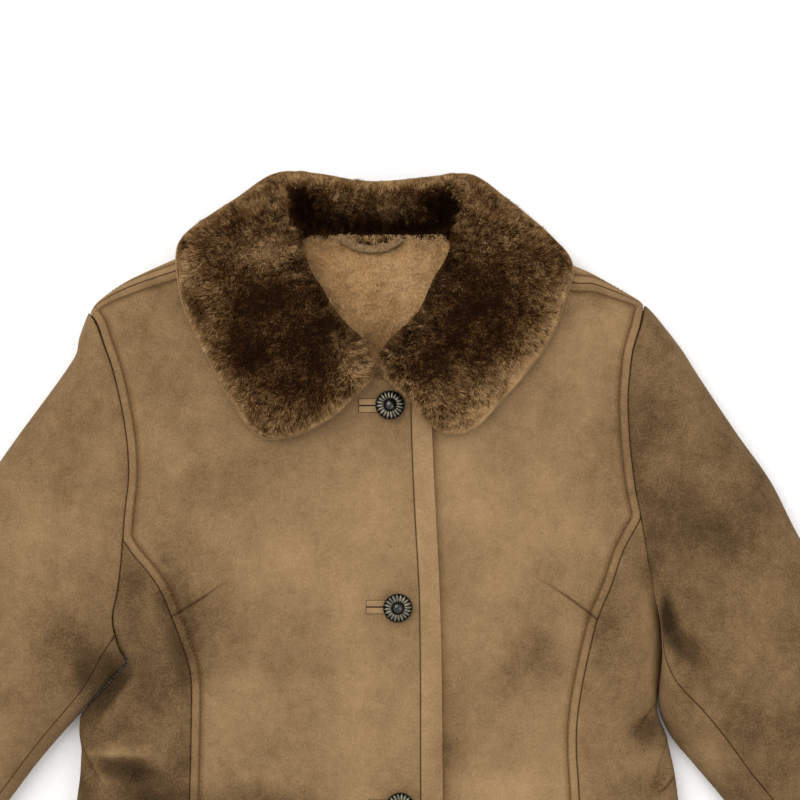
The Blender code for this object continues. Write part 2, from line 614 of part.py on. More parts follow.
def build_welt(number, name, shift, finish):
    """One lip of a bound buttonhole, lying on the right front and running under its button."""
    x, y = BUTTONS.read("x", number), BUTTONS.read("y", number)
    length = WELT["length"]
    middle = surface_frame(x - length / 2 + WELT["past_button"], y + shift)
    mesh = bmesh.new()
    bmesh.ops.create_cube(mesh, size=1)
    bmesh.ops.scale(mesh, vec=(length, WELT["width"], WELT["thickness"]), verts=mesh.verts)
    bmesh.ops.translate(mesh, vec=(0, 0, SEAM_GAP + WELT["thickness"] / 2), verts=mesh.verts)
    bmesh.ops.transform(mesh, matrix=middle, verts=mesh.verts)
    return build_object(f"{name}_{number}", mesh, finish)


def build_loop(finish):
    """The hanger loop: a narrow strip that lies in a shallow curve on the wool of the back."""
    outside, within = [], []
    base = WALL + SEAM_GAP
    for i, (x, y) in enumerate(LOOP_PATH):
        before, after = LOOP_PATH[max(i - 1, 0)], LOOP_PATH[min(i + 1, len(LOOP_PATH) - 1)]
        run = Vector((after[0] - before[0], after[1] - before[1])).normalized() * LOOP["width"] / 2
        ends = [Vector((x - run.y, y + run.x, base)), Vector((x + run.y, y - run.x, base))]
        ends = [Vector((end.x, min(end.y, BACK_NECK_Y), end.z)) for end in ends]
        within.append(ends)
        outside.append([end + Vector((0, 0, LOOP["thickness"])) for end in ends])
    return build_wall("hanger_loop", outside, within, finish)


def main():
    for old in list(bpy.data.objects):
        bpy.data.objects.remove(old)
    suede = material("suede", (0.35, 0.22, 0.09), 0.95)
    fur = material("clipped_fur", (0.12, 0.06, 0.02), 1.0)
    skin = material("collar_skin", (0.28, 0.16, 0.07), 0.9)
    tape = material("loop_strip", (0.2, 0.12, 0.05), 0.9)
    pewter = material("aged_pewter", (0.35, 0.34, 0.32), 0.4, 1.0)

    build_shearling("back", back_grid(), suede)
    build_shearling("front_right", front_grid("right", NECKLINE, lambda y: BAND.read("seam", y), 1.0), suede)
    build_shearling("front_left", front_grid("left", NECKLINE_LEFT, lambda y: UNDER_LAP_X, 0.0), suede)
    build_band(suede)
    for side in SIDES:
        build_shearling(f"side_front_{side}", side_grid(side), suede)
        build_shearling(f"top_sleeve_{side}", sleeve_grid(side, top=True), suede)
        build_shearling(f"under_sleeve_{side}", sleeve_grid(side, top=False), suede)
    fur_top, fur_under, skin_top, skin_under = collar_grids()
    build_wall("collar", fur_top, fur_under, fur)
    build_wall("under_collar", skin_top, skin_under, skin)
    for number, *_ in BUTTONS.rows:
        build_button(number, pewter)
        offset = (WELT["width"] + WELT["apart"]) / 2
        build_welt(number, "welt_upper", offset, suede)
        build_welt(number, "welt_lower", -offset, suede)
    build_loop(tape)


main()
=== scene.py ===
"""The looks of a suede shearling coat that lies flat on its back, buttoned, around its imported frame.

The form functions are the frame's own, read at finer steps, with the seams, folds and topstitching added.
They work in millimetres, and shell and fibres turn their points into metres.
"""

import math
from bisect import bisect_right

import bmesh
import bpy
import numpy as np
from bpy.props import FloatProperty, FloatVectorProperty, PointerProperty
from mathutils import Matrix, Vector


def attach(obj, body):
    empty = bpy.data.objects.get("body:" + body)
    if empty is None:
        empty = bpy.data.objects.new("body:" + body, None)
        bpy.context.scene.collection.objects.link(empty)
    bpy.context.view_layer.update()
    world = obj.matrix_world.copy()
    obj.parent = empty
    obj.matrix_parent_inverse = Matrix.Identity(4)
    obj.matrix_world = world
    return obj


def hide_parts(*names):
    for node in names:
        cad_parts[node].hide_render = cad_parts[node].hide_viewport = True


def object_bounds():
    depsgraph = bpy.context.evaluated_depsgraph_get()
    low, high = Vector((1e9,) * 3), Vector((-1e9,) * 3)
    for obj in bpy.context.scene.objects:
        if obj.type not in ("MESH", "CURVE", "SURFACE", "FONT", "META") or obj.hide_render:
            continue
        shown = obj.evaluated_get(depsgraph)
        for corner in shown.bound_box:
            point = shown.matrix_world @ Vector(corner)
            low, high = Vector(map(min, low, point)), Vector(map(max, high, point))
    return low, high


bl_info = {
    "name": "Shearling Coat",
    "version": (1, 0, 0),
    "blender": (4, 5, 0),
    "location": "3D View > Sidebar > Coat",
    "description": "Dresses the coat's frame in suede, wool, fur and cast buttons",
    "category": "Object",
}

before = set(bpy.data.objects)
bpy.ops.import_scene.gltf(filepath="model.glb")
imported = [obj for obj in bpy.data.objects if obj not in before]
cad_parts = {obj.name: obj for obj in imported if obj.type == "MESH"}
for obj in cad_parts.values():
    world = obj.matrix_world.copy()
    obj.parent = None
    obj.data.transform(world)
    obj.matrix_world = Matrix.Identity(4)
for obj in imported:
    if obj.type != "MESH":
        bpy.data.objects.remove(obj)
FRAME_BOX = [list(corner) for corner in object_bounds()]

MM = 0.001

# The coat's cut and form, in millimetres, as in the frame.
WALL = 6.0                  # shearling: the skin with its clipped wool
SEAM_GAP = 0.3              # space left between neighbouring pieces
SEAM_SIDE = SEAM_GAP / 1.5  # how far each piece stops short of its seam's line
FOLD_Z = 12.0               # height of the folds where the front turns round to the back
UPPER_RIM = 1.4             # width of the upper rounding at a fold, as a share of its height
LOWER_RIM = 14.0            # width of the lower rounding at a fold
HEM_Y = -500.0
CROWN = 5.0                 # how much lower the front lies at its sides than in its middle
CROWN_REACH = 250.0         # and how far out that is
OUTLINE_STEP = 1.0          # distance over which an outline's slope is measured
BUST = {"x": 118.0, "y": 165.0, "reach_x": 60.0, "reach_y": 85.0, "height": 5.0}
LAP_RISE = {"start": -100.0, "full": -30.0}     # x over which the right front climbs onto the left
LAP_CLEARANCE = 0.9
LAP_EASE = 30.0             # distance over which the collar comes down past the lap's edge
UNDER_LAP_X = -25.0         # edge of the left front, beneath the right one
NECK_X = 76.0               # where the shoulder seams meet the collar
PAST_TIP_SLOPE = 1.3        # how steeply the shoulder's line runs on past the armhole
PAST_NECK_SLOPE = 1.5       # and past the neck
BACK_NECK_Y = 452.0
BACK_WRAP = (0.1, 0.3, 0.5, 0.75, 1.0)      # the back's rows over the shoulder's fold, as shares of its drop
LEATHER = 1.2               # the collar's own skin, which shows as its light edge
LEATHER_SHOWS = 1.2         # how far the skin stands out past the fur
FUR_GAP = 1.3               # space between the skin and the fur
DRAPE_REACH = 12.0          # how far the collar's underside clears the shoulder's edge
DRAPE = {"y": 380.0, "ease": 40.0, "fall": 16.0}        # where it does so, and over what distances
COLLAR_CLEARANCE = 1.0      # how far it clears the cloth below
STAND = {"x": 50.0, "ease_x": 15.0, "y": 425.0, "ease_y": 20.0}     # where the collar rises inside the neck
ROLL = {"lean": 0.62, "fullness": 0.8}      # the stand's rolled section: where its top is, and how round
TUCK = {"y": 440.0, "ease": 8.0}            # where the stand's edge turns down to the neck seam
TIP_RELIEF = 1.5            # extra room at both ends of the armhole, where its two halves meet
LEAST_SLANT = 0.55          # the sleeve's head lies nearly along its edges, and this keeps it round
HEAD_RUN = 0.02             # part of the sleeve's length over which its edges' direction is measured
SLEEVE_BLEND = 0.12         # length over which the sleeve's head takes its own section


class Table:
    """Rows of named columns, read between its rows along a smooth curve."""

    def __init__(self, columns, *rows):
        self.columns = columns.split()
        self.rows = sorted(rows)
        self.keys = [row[0] for row in self.rows]
        self.values = {name: [row[i] for row in self.rows] for i, name in enumerate(self.columns)}
        self.slopes = {}

    def slope(self, values, k):
        low, high = max(k - 1, 0), min(k + 1, len(values) - 1)
        return (values[high] - values[low]) / (self.keys[high] - self.keys[low])

    def read(self, column, key):
        values = self.values[column]
        if column not in self.slopes:
            self.slopes[column] = [self.slope(values, k) for k in range(len(values))]
        if key <= self.keys[0]:
            return values[0]
        if key >= self.keys[-1]:
            return values[-1]
        i = bisect_right(self.keys, key) - 1
        span = self.keys[i + 1] - self.keys[i]
        t = (key - self.keys[i]) / span
        start, end = (slope * span for slope in self.slopes[column][i:i + 2])
        return ((2 * t**3 - 3 * t**2 + 1) * values[i] + (t**3 - 2 * t**2 + t) * start
                + (3 * t**2 - 2 * t**3) * values[i + 1] + (t**3 - t**2) * end)

    def records(self):
        return [dict(zip(self.columns, row)) for row in self.rows]


# The two sides of the coat, measured outwards from its middle line.
SIDES = {
    "right": {
        "sign": -1.0,
        "press": 0.7,                   # how far the body's fold bulges against the sleeve
        "shoulder_tip": (226.0, 389.5),
        "underarm": (196.0, 113.0),
        "princess_top": 0.645,          # share of the armhole above the princess seam
        "armhole": Table("y x", (390, 226.2), (381, 219), (363, 212.5), (348, 207), (324, 200.8),
                         (303, 196.6), (282, 193.9), (260, 193.3), (236, 195.8), (213, 197.8),
                         (193, 199.3), (171, 202), (150, 206), (130, 203), (113, 196)),
        "fold": Table("y x", (HEM_Y, 300), (-300, 277), (-145, 257), (-60, 244), (5, 237),
                      (22, 234.7), (37, 233.6), (45, 233.2), (57, 234.7), (70, 233.8), (76, 230.6),
                      (84, 223.2), (98, 210), (113, 196)),
        "princess": Table("y x", (HEM_Y, 172), (-300, 160), (-145, 151), (-60, 147), (9, 146), (49, 145),
                          (78, 144.3), (101, 144.3), (114, 146.3), (135, 153), (153, 160), (172, 168),
                          (187, 178.4), (199, 188.8), (211, 197.5)),
        "shoulder": Table("x y drop", (60, 466, 11), (110, 450, 11), (156, 433.5, 11), (171, 427.2, 9.5),
                          (183.4, 421.6, 8), (196, 415.3, 6.5), (208.6, 406.6, 3.5), (221, 396.2, 1),
                          (226, 389.5, 0)),
        "sleeve": Table("v outer_x outer_y lower_x lower_y height seam",
                        (0.0, 226, 389.5, 196.6, 112, 34, 1), (0.06, 234, 370, 214.3, 94.2, 36, 0.85),
                        (0.12, 240, 352, 233, 74.0, 38, 0.7), (0.25, 285.5, 289, 265, 37.5, 40, 0.65),
                        (0.4, 335, 219, 300, -8, 40, 0.65), (0.7, 448, 66, 380, -99, 36, 0.65),
                        (1.0, 562, -88, 457, -178, 30, 0.65)),
    },
    "left": {
        "sign": 1.0,
        "press": 1.5,
        "shoulder_tip": (211.0, 395.5),
        "underarm": (225.5, 158.0),
        "princess_top": 0.705,
        "armhole": Table("y x", (395.5, 211), (378, 206.5), (360, 201), (343, 198.5), (320, 196.8),
                         (297, 197.7), (276, 199.5), (251, 202.6), (235, 206), (207, 211),
                         (190, 214), (180, 217), (171, 221), (158, 225.5)),
        "fold": Table("y x", (HEM_Y, 300), (-300, 278), (-145, 258), (-60, 246), (8, 238.7), (28, 235.8),
                      (47, 231.6), (57, 229.4), (66, 225), (75, 222), (86, 221.8), (100, 223), (118, 224.5),
                      (136, 225.8), (158, 225.5)),
        "princess": Table("y x", (HEM_Y, 180), (-300, 170), (-145, 163), (-60, 160), (8.6, 159), (46, 156.8),
                          (68.7, 157.2), (97, 161), (125, 166.7), (150, 173), (176, 183.7),
                          (203, 193), (227.5, 206.5)),
        "shoulder": Table("x y drop", (60, 466, 15), (110, 447, 15), (154, 427.8, 15), (170, 421, 9),
                          (183, 413.7, 6), (195.5, 406, 3), (206.5, 399.2, 1), (211, 395.5, 0)),
        "sleeve": Table("v outer_x outer_y lower_x lower_y height seam",
                        (0.0, 211, 395.5, 227.1, 157.5, 34, 1), (0.06, 223.5, 382.5, 225.8, 118, 36, 1.4),
                        (0.12, 241, 361, 223, 80, 38, 1.8), (0.16, 254, 340.5, 230.9, 58, 39, 1.9),
                        (0.25, 285, 294, 250, 34, 40, 2.1), (0.32, 311.5, 256.5, 267, 14, 40, 2.1),
                        (0.4, 337, 208, 285, -8, 40, 2.1), (0.7, 446, 54, 361, -94, 36, 2.1),
                        (1.0, 556, -100, 439, -178, 30, 2.1)),
    },
}

# Height of the front's upper skin along the middle line.
FRONT_HEIGHT = Table("y z", (HEM_Y, 27), (-300, 29), (-150, 31), (0, 31), (60, 31.5), (160, 36),
                     (260, 37), (330, 36), (390, 31), (470, 28))

# The neckline of the fronts, from the shoulder seam to the edge of the right front's lap.
NECKLINE = ((-76, 449), (-71, 424), (-60, 396), (-43, 370), (-20, 348), (2, 337), (27, 333))
NECKLINE_LEFT = ((76, 445), (71, 424), (60, 398), (44, 374), (28, 352), (4, 336), (-25, 332))
BAND = Table("y seam edge", (HEM_Y, 36, 54), (8, 34.6, 52), (125, 34.3, 50.8), (180, 33.1, 49),
             (218, 30.9, 47.2), (255, 29, 45.2), (296, 27.5, 43.5), (333, 27, 42.5))

# The collar's sections, from its right end round the neck: where it starts and ends, how thick its
# fur is, and how much of it is the stand that rises inside the neck.
COLLAR = Table(
    "n inner_x inner_y outer_x outer_y fur stand",
    (0, -0.8, 345, -2.5, 337, 12, 0), (1, -4.5, 357, -17, 323, 21, 0), (2, -11, 369, -31, 310, 24, 0),
    (3, -24, 381, -46, 300, 24, 0), (4, -34, 394, -66, 292.5, 24, 0), (5, -42, 408, -88, 292, 24, 0),
    (6, -50, 421, -107, 311, 24, 0), (7, -55.5, 434, -131, 354, 24, 0), (8, -60, 445, -150, 394, 24, 0.1),
    (9, -61.5, 454, -156, 436, 24, 0.2), (10, -61.5, 456.5, -146, 456.5, 26, 0.35),
    (11, -59.5, 459, -110, 481, 28, 0.55), (12, -52, 457, -80, 500, 22, 0.8), (13, -35, 453, -48, 500, 36, 1),
    (14, -15, 452.5, -20, 495, 36, 1), (15, 0, 452.5, 0, 493.5, 36, 1), (16, 15, 452.5, 20, 494.8, 36, 1),
    (17, 35, 453, 45, 497.5, 36, 1), (18, 52, 457, 75, 499, 22, 0.8), (19, 58, 459, 100, 482.5, 28, 0.55),
    (20, 60, 456.5, 133, 455, 26, 0.35), (21, 59.5, 454, 153, 428, 24, 0.2), (22, 58, 440, 147, 398, 24, 0.1),
    (23, 52, 427, 135, 367, 24, 0), (24, 45, 415, 116, 341, 24, 0), (25, 39, 402, 96, 318, 24, 0),
    (26, 32, 388, 77, 299, 24, 0), (27, 22, 378, 57, 294.3, 24, 0), (28, 13, 370, 41, 303, 24, 0),
    (29, 6.5, 362, 25, 321.5, 21, 0), (30, 3.2, 356, 6.5, 338.5, 12, 0))
BUTTONS = Table("number x y turn", (1, 10.7, 316.3, 150), (2, 16.7, 159.9, 40), (3, 18.2, 4, 100),
                (4, 18.8, -152, 20))
LOOP_PATH = ((-29.5, 450.5), (-25, 446.5), (-16.5, 441.7), (-6, 439.8), (7, 440.6), (15.5, 445), (20, 449))
BUTTON = {"radius": 11.5, "thickness": 6.0, "petals": 20, "tilt": 7.0, "clearance": 0.2}

# The button's back and rim in section, and its petals and the beads round them, as shares of its radius
# and thickness.
BUTTON_PROFILE = ((0, 0), (0.8, 0.02), (0.95, 0.2), (0.98, 0.34), (0.92, 0.46), (0.7, 0.5), (0.4, 0.56),
                  (0, 0.6))
PETALS = Table("out height long wide deep raised",
               (0.675, 0.56, 0.27, 0.1, 0.15, 0.85), (0.93, 0.38, 0.085, 0.1, 0.16, 0.24))
PETAL_DIP = 7.0             # degrees by which they fall outwards
WELT = {"length": 27.0, "width": 4.6, "thickness": 0.9, "apart": 1.0, "past_button": 3.0}
SLIT = {"wider": 0.5, "deep": 0.7}
LOOP = {"width": 6.0, "thickness": 1.4, "lies": 5.0}    # lies is how far above the wall's own skin
ROLL_DROP = 2.5                         # how far the fur falls away behind the leaves' rolls
LOOP_FUR = {"x": -5.0, "reach": 17.0, "depth": 5.5}     # the fur that hangs down inside the hanger loop
FUR_SINK = 3.6                          # the fur's roots lie this far below its reach

# Each kind of pile, and how much its single fibres differ. TUFTS are tint and size of its small tufts.
COLLAR_FUR = {"lean": 0.42, "clump": 1.1, "rolled": True}
NECK_WOOL = {"density": 2.05, "width": 0.54, "lean": 0.7, "clump": 0.5}
EDGE_WOOL = {"density": 1.95, "length": 2.6, "width": 0.58, "lean": 0.5, "clump": 1.2}
NECK_WOOL_PLACE = {"x": 66.0, "start_y": 334.0}
UNEVEN = {"swirl": 0.5, "lean": 0.1, "length": 0.16, "spin": 0.9, "width": 0.3, "tint": 0.16}
BEND = {"at": 0.55, "by": 0.35}         # where a fibre bends, as a share of its length, and how far
TRIM = {"share": 0.5, "reach": 0.06}    # how much shorter the fur is clipped at the collar's edge
TUFTS = ((0.14, 2.1), (0.1, 4.3))
# The fur's plain shade; its rims are lighter, partly as the fur's own and partly as painted light.
FUR_SHADE = {"plain": 0.46, "rim": 0.4, "rim_reach": 10.0, "neck": 0.04}

# How the seams and the nap are drawn, in millimetres.
FINE_STEPS = (0, 1.5, 3.5, 6, 8.5)      # places of the grid's lines beside a seam
TOPSTITCH = 6.8                         # from a seam to its topstitching
STITCH = {"share": 0.68, "thick": 0.95}     # how much of its pitch a stitch takes up
STITCH_SHAPE = {"flat": 0.6, "above": 0.12}
LOOP_STITCH = {"pitch": 2.6, "length": 1.7, "thick": 0.7}
FAR_FROM_SEAM = 60.0
LINE_REACH = 12.0                       # how far the drawn lines along seams, stitches and creases reach
TONE_SHARE = 0.45                       # how strongly the lighter and darker places show
FOLD_WEAR_AND_SHADE = 0.03                     # a ridge is painted lighter, as rubbed wear and as painted light, and a trough darker, as painted shade
SLEEVE_SEAM = 0.92                      # where the two sleeve pieces meet, across the front half
SLEEVE_EASE = 0.52                      # the front seam's shift across the sleeve starts here
BACK_SLEEVE_SEAM = 0.3                  # where the two pieces meet across the back half
PRESS_REACH = 75.0                      # how far below the underarm the body's fold meets the sleeve
SWELL = ((0.55, 60, 3), (0.22, 22, 4))  # the suede's uneven lie: height, size and seed
PUFF = {"height": 0.7, "place": 0.45 * TOPSTITCH, "reach": 3.0}     # beside a stitched seam
GROOVE = {"depth": 0.45, "reach": 1.2}  # along a seam
CREASE_REACH = 12.0
LEVEL_SPOT = {"shift": 6.0, "long": 22.0, "wide": 14.0}     # the suede lies level round a button and its hole
PRESSED = {"share": 0.3, "reach": 10.0}     # how thin a seam presses the wall, and how far from it
UPRIGHT = {"from": 2.0, "over": 8.0, "reach": 14.0}     # heights at which facings near a seam turn level
LINE_FADE = {"past_end": 9.0, "middle": 1.15, "falls": 1.2}     # how a fold dies away at its ends

# The lights aim at the upper front, and the camera looks straight down on it. These are in metres.
LIT_PLACE = (0.02, 0.32, 0)
ROOM_LIGHT = 0.78
LIGHTS = (("key", (-0.9, 1.5, 2.2), None, 44.0), ("fill", (1.6, -0.4, 2.0), 1.6, 12.0))    # None: as set
CAMERA = {"place": (0.0187, 0.3206, 1.769), "lens": 100.0, "sensor": 36.0}
FINISHES = {}                           # the materials made so far
PANELS = {}                             # the panels cut so far

# Soft folds of the suede: side is 1 on the upper side and -1 underneath, and a trough's height is negative.
FOLDS = Table(
    "start_x start_y end_x end_y width height bow side",
    (-231, 375, -247, 289, 6, -1.3, 3, 1), (-222, 372, -236, 292, 5, 0.7, 3, 1),
    (235, 360, 203, 288, 4.5, -1.2, -3, 1), (147, 188, 55, 46, 15, -2.4, 8, 1),
    (170, 190, 84, 40, 14, 1.2, 8, 1), (-226, 42, -180, 44, 4, 2.4, 1, 1),
    (-222, 34, -168, 22, 7, -3.4, 3, 1), (-229, 43, -207, 9, 3.5, -1.6, -2, 1),
    (-234, 20, -222, 4, 3, 1.1, 0, 1), (-208, 24, -150, 8, 5, 1.8, -2, 1),
    (-196, 104, -222, 70, 5, -2.6, 1, 1), (-190, 108, -214, 66, 6, 1.6, 1, 1),
    (232, 164, 237, 122, 6, -3.0, 1, 1), (-204, 138, -193, 104, 3.5, -1.8, 1, 1),
    (218, 80, 199, 52, 4, -1.8, -2, 1), (234, 23, 214, 6, 3.5, -1.8, -1, 1), (214, 36, 176, 24, 6, 1.5, 2, 1),
    (-300, 250, -252, 178, 9, -1.5, 5, 1), (-338, 176, -300, 90, 10, 1.3, -6, 1),
    (-262, 120, -322, 60, 7, -1.6, 5, 1), (-240, 150, -272, 118, 5, -1.4, 2, 1),
    (300, 236, 262, 148, 9, -1.4, -5, 1), (345, 180, 318, 96, 11, 1.2, 6, 1),
    (258, 92, 330, 64, 6, -1.5, -4, 1), (246, 118, 300, 108, 6, 1.0, -3, 1),
    (404, 96, 362, -20, 9, -1.5, 6, 1), (-408, 100, -372, -14, 9, -1.5, -6, 1),
    (470, 10, 402, -60, 8, 1.3, 4, 1), (-476, 12, -410, -66, 8, 1.3, -4, 1),
    (-120, -60, -96, -300, 18, -1.8, 8, 1), (110, -40, 132, -330, 18, -1.6, -8, 1),
    (-214, -90, -178, -240, 12, 1.5, -6, 1), (214, -60, 186, -280, 12, 1.4, 6, 1),
    (-60, -200, -48, -440, 16, 1.3, 6, 1), (230, -300, 170, -470, 13, -1.5, 5, 1),
    (-150, 300, -70, 250, 16, -1.1, 5, 1), (150, 330, 96, 262, 16, -1.0, -5, 1),
    (-190, 60, 40, 30, 9, -1.5, 10, -1), (-40, 250, 150, 210, 10, -1.2, 8, -1),
    (-150, -120, -60, -420, 14, -1.6, 12, -1), (190, -80, 60, -380, 14, -1.4, -10, -1),
    (-300, 220, -380, 60, 8, -1.3, 6, -1), (320, 200, 420, 20, 8, -1.4, -6, -1))

# Crisp lines: the bust darts and the sharp ends of the waist's folds, each drawn as a dip and a dark line,
# which in the folds is painted shade.
CREASES = Table(
    "start_x start_y end_x end_y strength bow panel",
    (-161, 151, -110, 185, 0.9, -1.5, "front"), (173, 149, 122, 184, 0.9, -1.5, "front"),
    (234, 23, 217, 9, 0.8, 1, "side"), (-204, 136, -195, 106, 0.5, 1, "side"),
    (218, 79, 200, 54, 0.6, -1, "side"), (-229, 43, -208, 10, 0.6, -1, "side"),
    (-194, 105, -222, 69, 0.45, 1, "side"), (227, 47, 218, 17, 0.4, -1, "side"))

# Lighter and darker places of the suede: some are wear and the hide's own uneven colour, and many are painted
# shade in the folds, under the arms and beside the collar, and painted light on the folds' ridges.
SUEDE_TONE_AND_SHADE = Table(
    "x y long wide turn amount",
    (-64, 286, 34, 26, 10, -0.1), (-122, 258, 34, 24, 10, -0.45), (-70, 232, 60, 18, 8, -0.1),
    (-150, 205, 36, 16, -15, -0.2), (-6, 222, 34, 66, 0, 0.5), (-60, 200, 40, 24, 20, 0.1),
    (-122, 150, 22, 46, 6, -0.3), (-100, 95, 20, 30, 20, 0.3), (-90, 66, 70, 22, 0, 0.1),
    (-62, 118, 60, 12, 6, -0.12), (-166, 92, 16, 60, 8, -0.1), (-70, 30, 50, 14, 0, 0.1),
    (-14, 120, 22, 70, 0, 0.3), (-14, 20, 26, 34, 0, 0.3), (-110, 4, 74, 15, -4, -0.55),
    (-186, 8, 26, 12, -10, -0.6), (-200, 40, 26, 12, 0, 0.2), (-152, 148, 15, 56, 10, -0.75),
    (-190, 165, 12, 24, 0, -0.5), (-180, 110, 14, 30, 0, -0.25), (-250, 330, 26, 50, 30, -0.1),
    (-262, 208, 34, 44, -35, 0.45), (-240, 128, 26, 26, -40, -0.55), (-222, 104, 16, 20, 0, -0.9),
    (-276, 150, 20, 40, -40, -0.1), (-330, 130, 22, 60, -35, 0.1), (-226, 230, 14, 40, 0, 0.15),
    (-200, 350, 22, 30, 0, -0.2), (-150, 398, 60, 14, -20, -0.2), (-160, 340, 30, 40, 10, -0.15),
    (60, 262, 30, 50, 0, 0.3), (110, 285, 26, 40, 30, -0.2), (104, 246, 40, 16, 20, 0.05),
    (160, 330, 36, 40, 0, -0.1), (190, 268, 22, 60, 0, -0.3), (146, 392, 50, 12, 20, -0.2),
    (96, 140, 22, 20, -40, 0.15), (126, 118, 24, 24, -40, -0.55), (110, 160, 40, 14, 52, 0.05),
    (70, 90, 30, 30, 50, -0.15), (96, 14, 30, 20, 0, 0.45), (52, 110, 16, 90, 0, -0.1),
    (150, 40, 22, 24, 0, 0.12), (172, 150, 16, 40, 8, -0.3), (34, 6, 14, 16, 0, -0.3),
    (232, 320, 26, 46, 30, -0.05), (244, 234, 44, 26, -25, -0.5), (290, 252, 26, 22, -20, -0.35),
    (222, 116, 12, 26, -8, 0.45), (212, 60, 20, 16, -8, -0.5), (316, 104, 22, 34, 38, 0.4),
    (284, 66, 20, 22, 0, -0.25), (258, 38, 18, 18, 0, 0.4), (214, 196, 14, 34, 0, -0.3),
    (204, 16, 30, 12, -10, -0.3), (292, 160, 26, 30, 38, 0.05), (-100, -120, 70, 60, 20, 0.14),
    (100, -160, 60, 80, -20, -0.14), (-160, -300, 60, 70, 0, -0.16), (60, -380, 70, 60, 0, 0.14),
    (200, -260, 40, 80, 10, 0.1), (-209.8, 91, 26, 6.5, 51, -0.8), (-195, 31, 25, 9, -8, -0.95),
    (-168, 14, 30, 12, -12, -0.5), (-203, 44, 28, 3.2, 1, 0.5), (-218, 27, 18, 3, -57, 0.4),
    (-230, 15, 14, 6, -60, -0.5), (-150, 30, 16, 30, 8, -0.3), (212, 64, 13, 8, 38, -0.4),
    (221, 25, 13, 4.5, 60, -0.6), (229, 144, 7, 21, 14, -1.0), (226.5, 152, 4, 18, 2, -0.7),
    (243, 128, 10, 12, 30, -0.5), (236, 104, 14, 5, 60, 0.25), (276, 250, 26, 20, 0, 0.4),
    (214, 157, 10, 16, 0, 0.35), (-150, 14, 22, 12, 0, 0.4), (222, 266, 16, 14, 0, 0.3),
    (-192, 157, 14, 14, 0, 0.3), (198, 63, 14, 14, 0, 0.3), (292, 79, 18, 18, 0, 0.35),
    (-207, 112, 9, 13, 0, -0.7), (-254, 94, 16, 16, 0, -0.3), (58, 48, 14, 16, 0, -0.3),
    (166, 404, 14, 14, 0, -0.35), (-192, 375, 14, 14, 0, -0.3))

# Shades of the fur by place: the flattened middles of the leaves are dark and their rims light, partly as the
# fur's own and partly as painted light, with painted shade in the hollows where the leaves roll over the
# stand and along the stand's lower edge.
FUR_TONE_AND_SHADE = Table(
    "x y long wide turn amount",
    (-82, 398, 34, 14, 10, -0.4), (-74, 364, 46, 22, 10, -0.36), (-99, 352, 10, 16, 0, -0.24),
    (-56, 328, 24, 11, -8, -0.38), (-70, 396, 24, 9, 0, -0.12), (-52, 356, 13, 12, 0, -0.16),
    (-38, 379, 12, 7, 0, -0.3), (-40, 345, 11, 9, 0, -0.3),
    (-82, 434, 26, 8, 10, 0.26), (-100, 416, 20, 10, 10, -0.14), (-74, 446, 10, 12, 10, 0.2),
    (-124, 420, 18, 12, 60, -0.06), (-120, 456, 34, 12, 30, -0.06), (-142, 424, 10, 22, 10, 0.1),
    (-120, 380, 10, 26, 10, 0.02), (-24, 366, 14, 8, -40, 0.1), (-14, 354, 14, 17, 0, 0.34),
    (-26, 317, 13, 12, 0, 0.22), (-44, 422, 16, 12, 0, 0.1), (-60, 304, 40, 6, 0, 0.08),
    (76, 396, 32, 20, 34, -0.32), (102, 388, 24, 14, 60, -0.2),
    (46, 352, 20, 14, 40, -0.36), (66, 426, 22, 10, -30, -0.34), (84, 360, 22, 14, 40, -0.3),
    (62, 380, 22, 12, 35, -0.22), (72, 446, 10, 10, 0, 0.12), (124, 436, 14, 12, 0, -0.14),
    (58, 350, 9, 8, 0, 0.14), (36, 382, 10, 6, 30, 0.16), (102, 334, 40, 13, 52, 0.26),
    (134, 382, 34, 9, 66, 0.16), (74, 306, 26, 12, 12, 0.28), (104, 424, 14, 8, 20, -0.06),
    (28, 330, 12, 20, 60, 0.12), (0, 462, 62, 12, 0, -0.06), (-46, 466, 12, 16, 0, -0.2),
    (-58, 461, 5, 14, 12, -0.9), (56, 463, 6, 11, -12, -0.8), (45, 476, 9, 9, 0, -0.5),
    (0, 452, 60, 7, 0, -0.4),
    (-12, 460, 12, 9, 0, -0.3), (20, 457, 10, 7, 0, -0.3), (-34, 460, 12, 9, 0, -0.2),
    (16, 468, 30, 10, 0, 0.14), (-30, 470, 20, 8, 0, -0.04), (0, 492, 90, 7, 0, 0.06),
    (-20, 478, 18, 5, 0, 0.1), (110, 470, 30, 8, -32, 0.06), (0, 484, 80, 12, 0, 0.08),
    (90, 378, 42, 36, 40, -0.045), (-56, 453, 12, 9, 0, 0.16), (-20, 470, 26, 9, 0, 0.13),
    (11, 462, 12, 12, 0, 0.07), (62, 454, 14, 9, 0, 0.1), (-52, 484, 14, 10, 0, 0.07),
    (100, 358, 14, 9, 30, 0.1), (74, 344, 12, 9, 30, 0.1), (89, 328, 12, 9, 0, 0.08),
    (42, 391, 9, 9, 0, 0.08), (-114, 380, 10, 14, 0, -0.13), (-96, 366, 10, 10, 0, -0.08),
    (-52, 344, 12, 10, 0, -0.11), (-82, 328, 12, 9, 0, -0.11), (30, 344, 12, 9, 0, -0.11),
    (150, 391, 8, 12, 0, -0.1), (-56, 452, 12, 12, 0, 0.16), (-66, 454, 9, 10, 0, 0.08),
    (58, 454, 10, 9, 0, 0.08), (-22, 470, 22, 8, 0, 0.07), (18, 470, 12, 7, 0, 0.06),
    (-114, 374, 9, 10, 0, -0.08), (26, 344, 10, 8, 0, -0.08), (-67, 344, 10, 9, 0, 0.06),
    (42, 313, 12, 8, 0, 0.08), (-56, 402, 12, 9, 0, 0.06), (-38, 453, 10, 9, 0, 0.08))
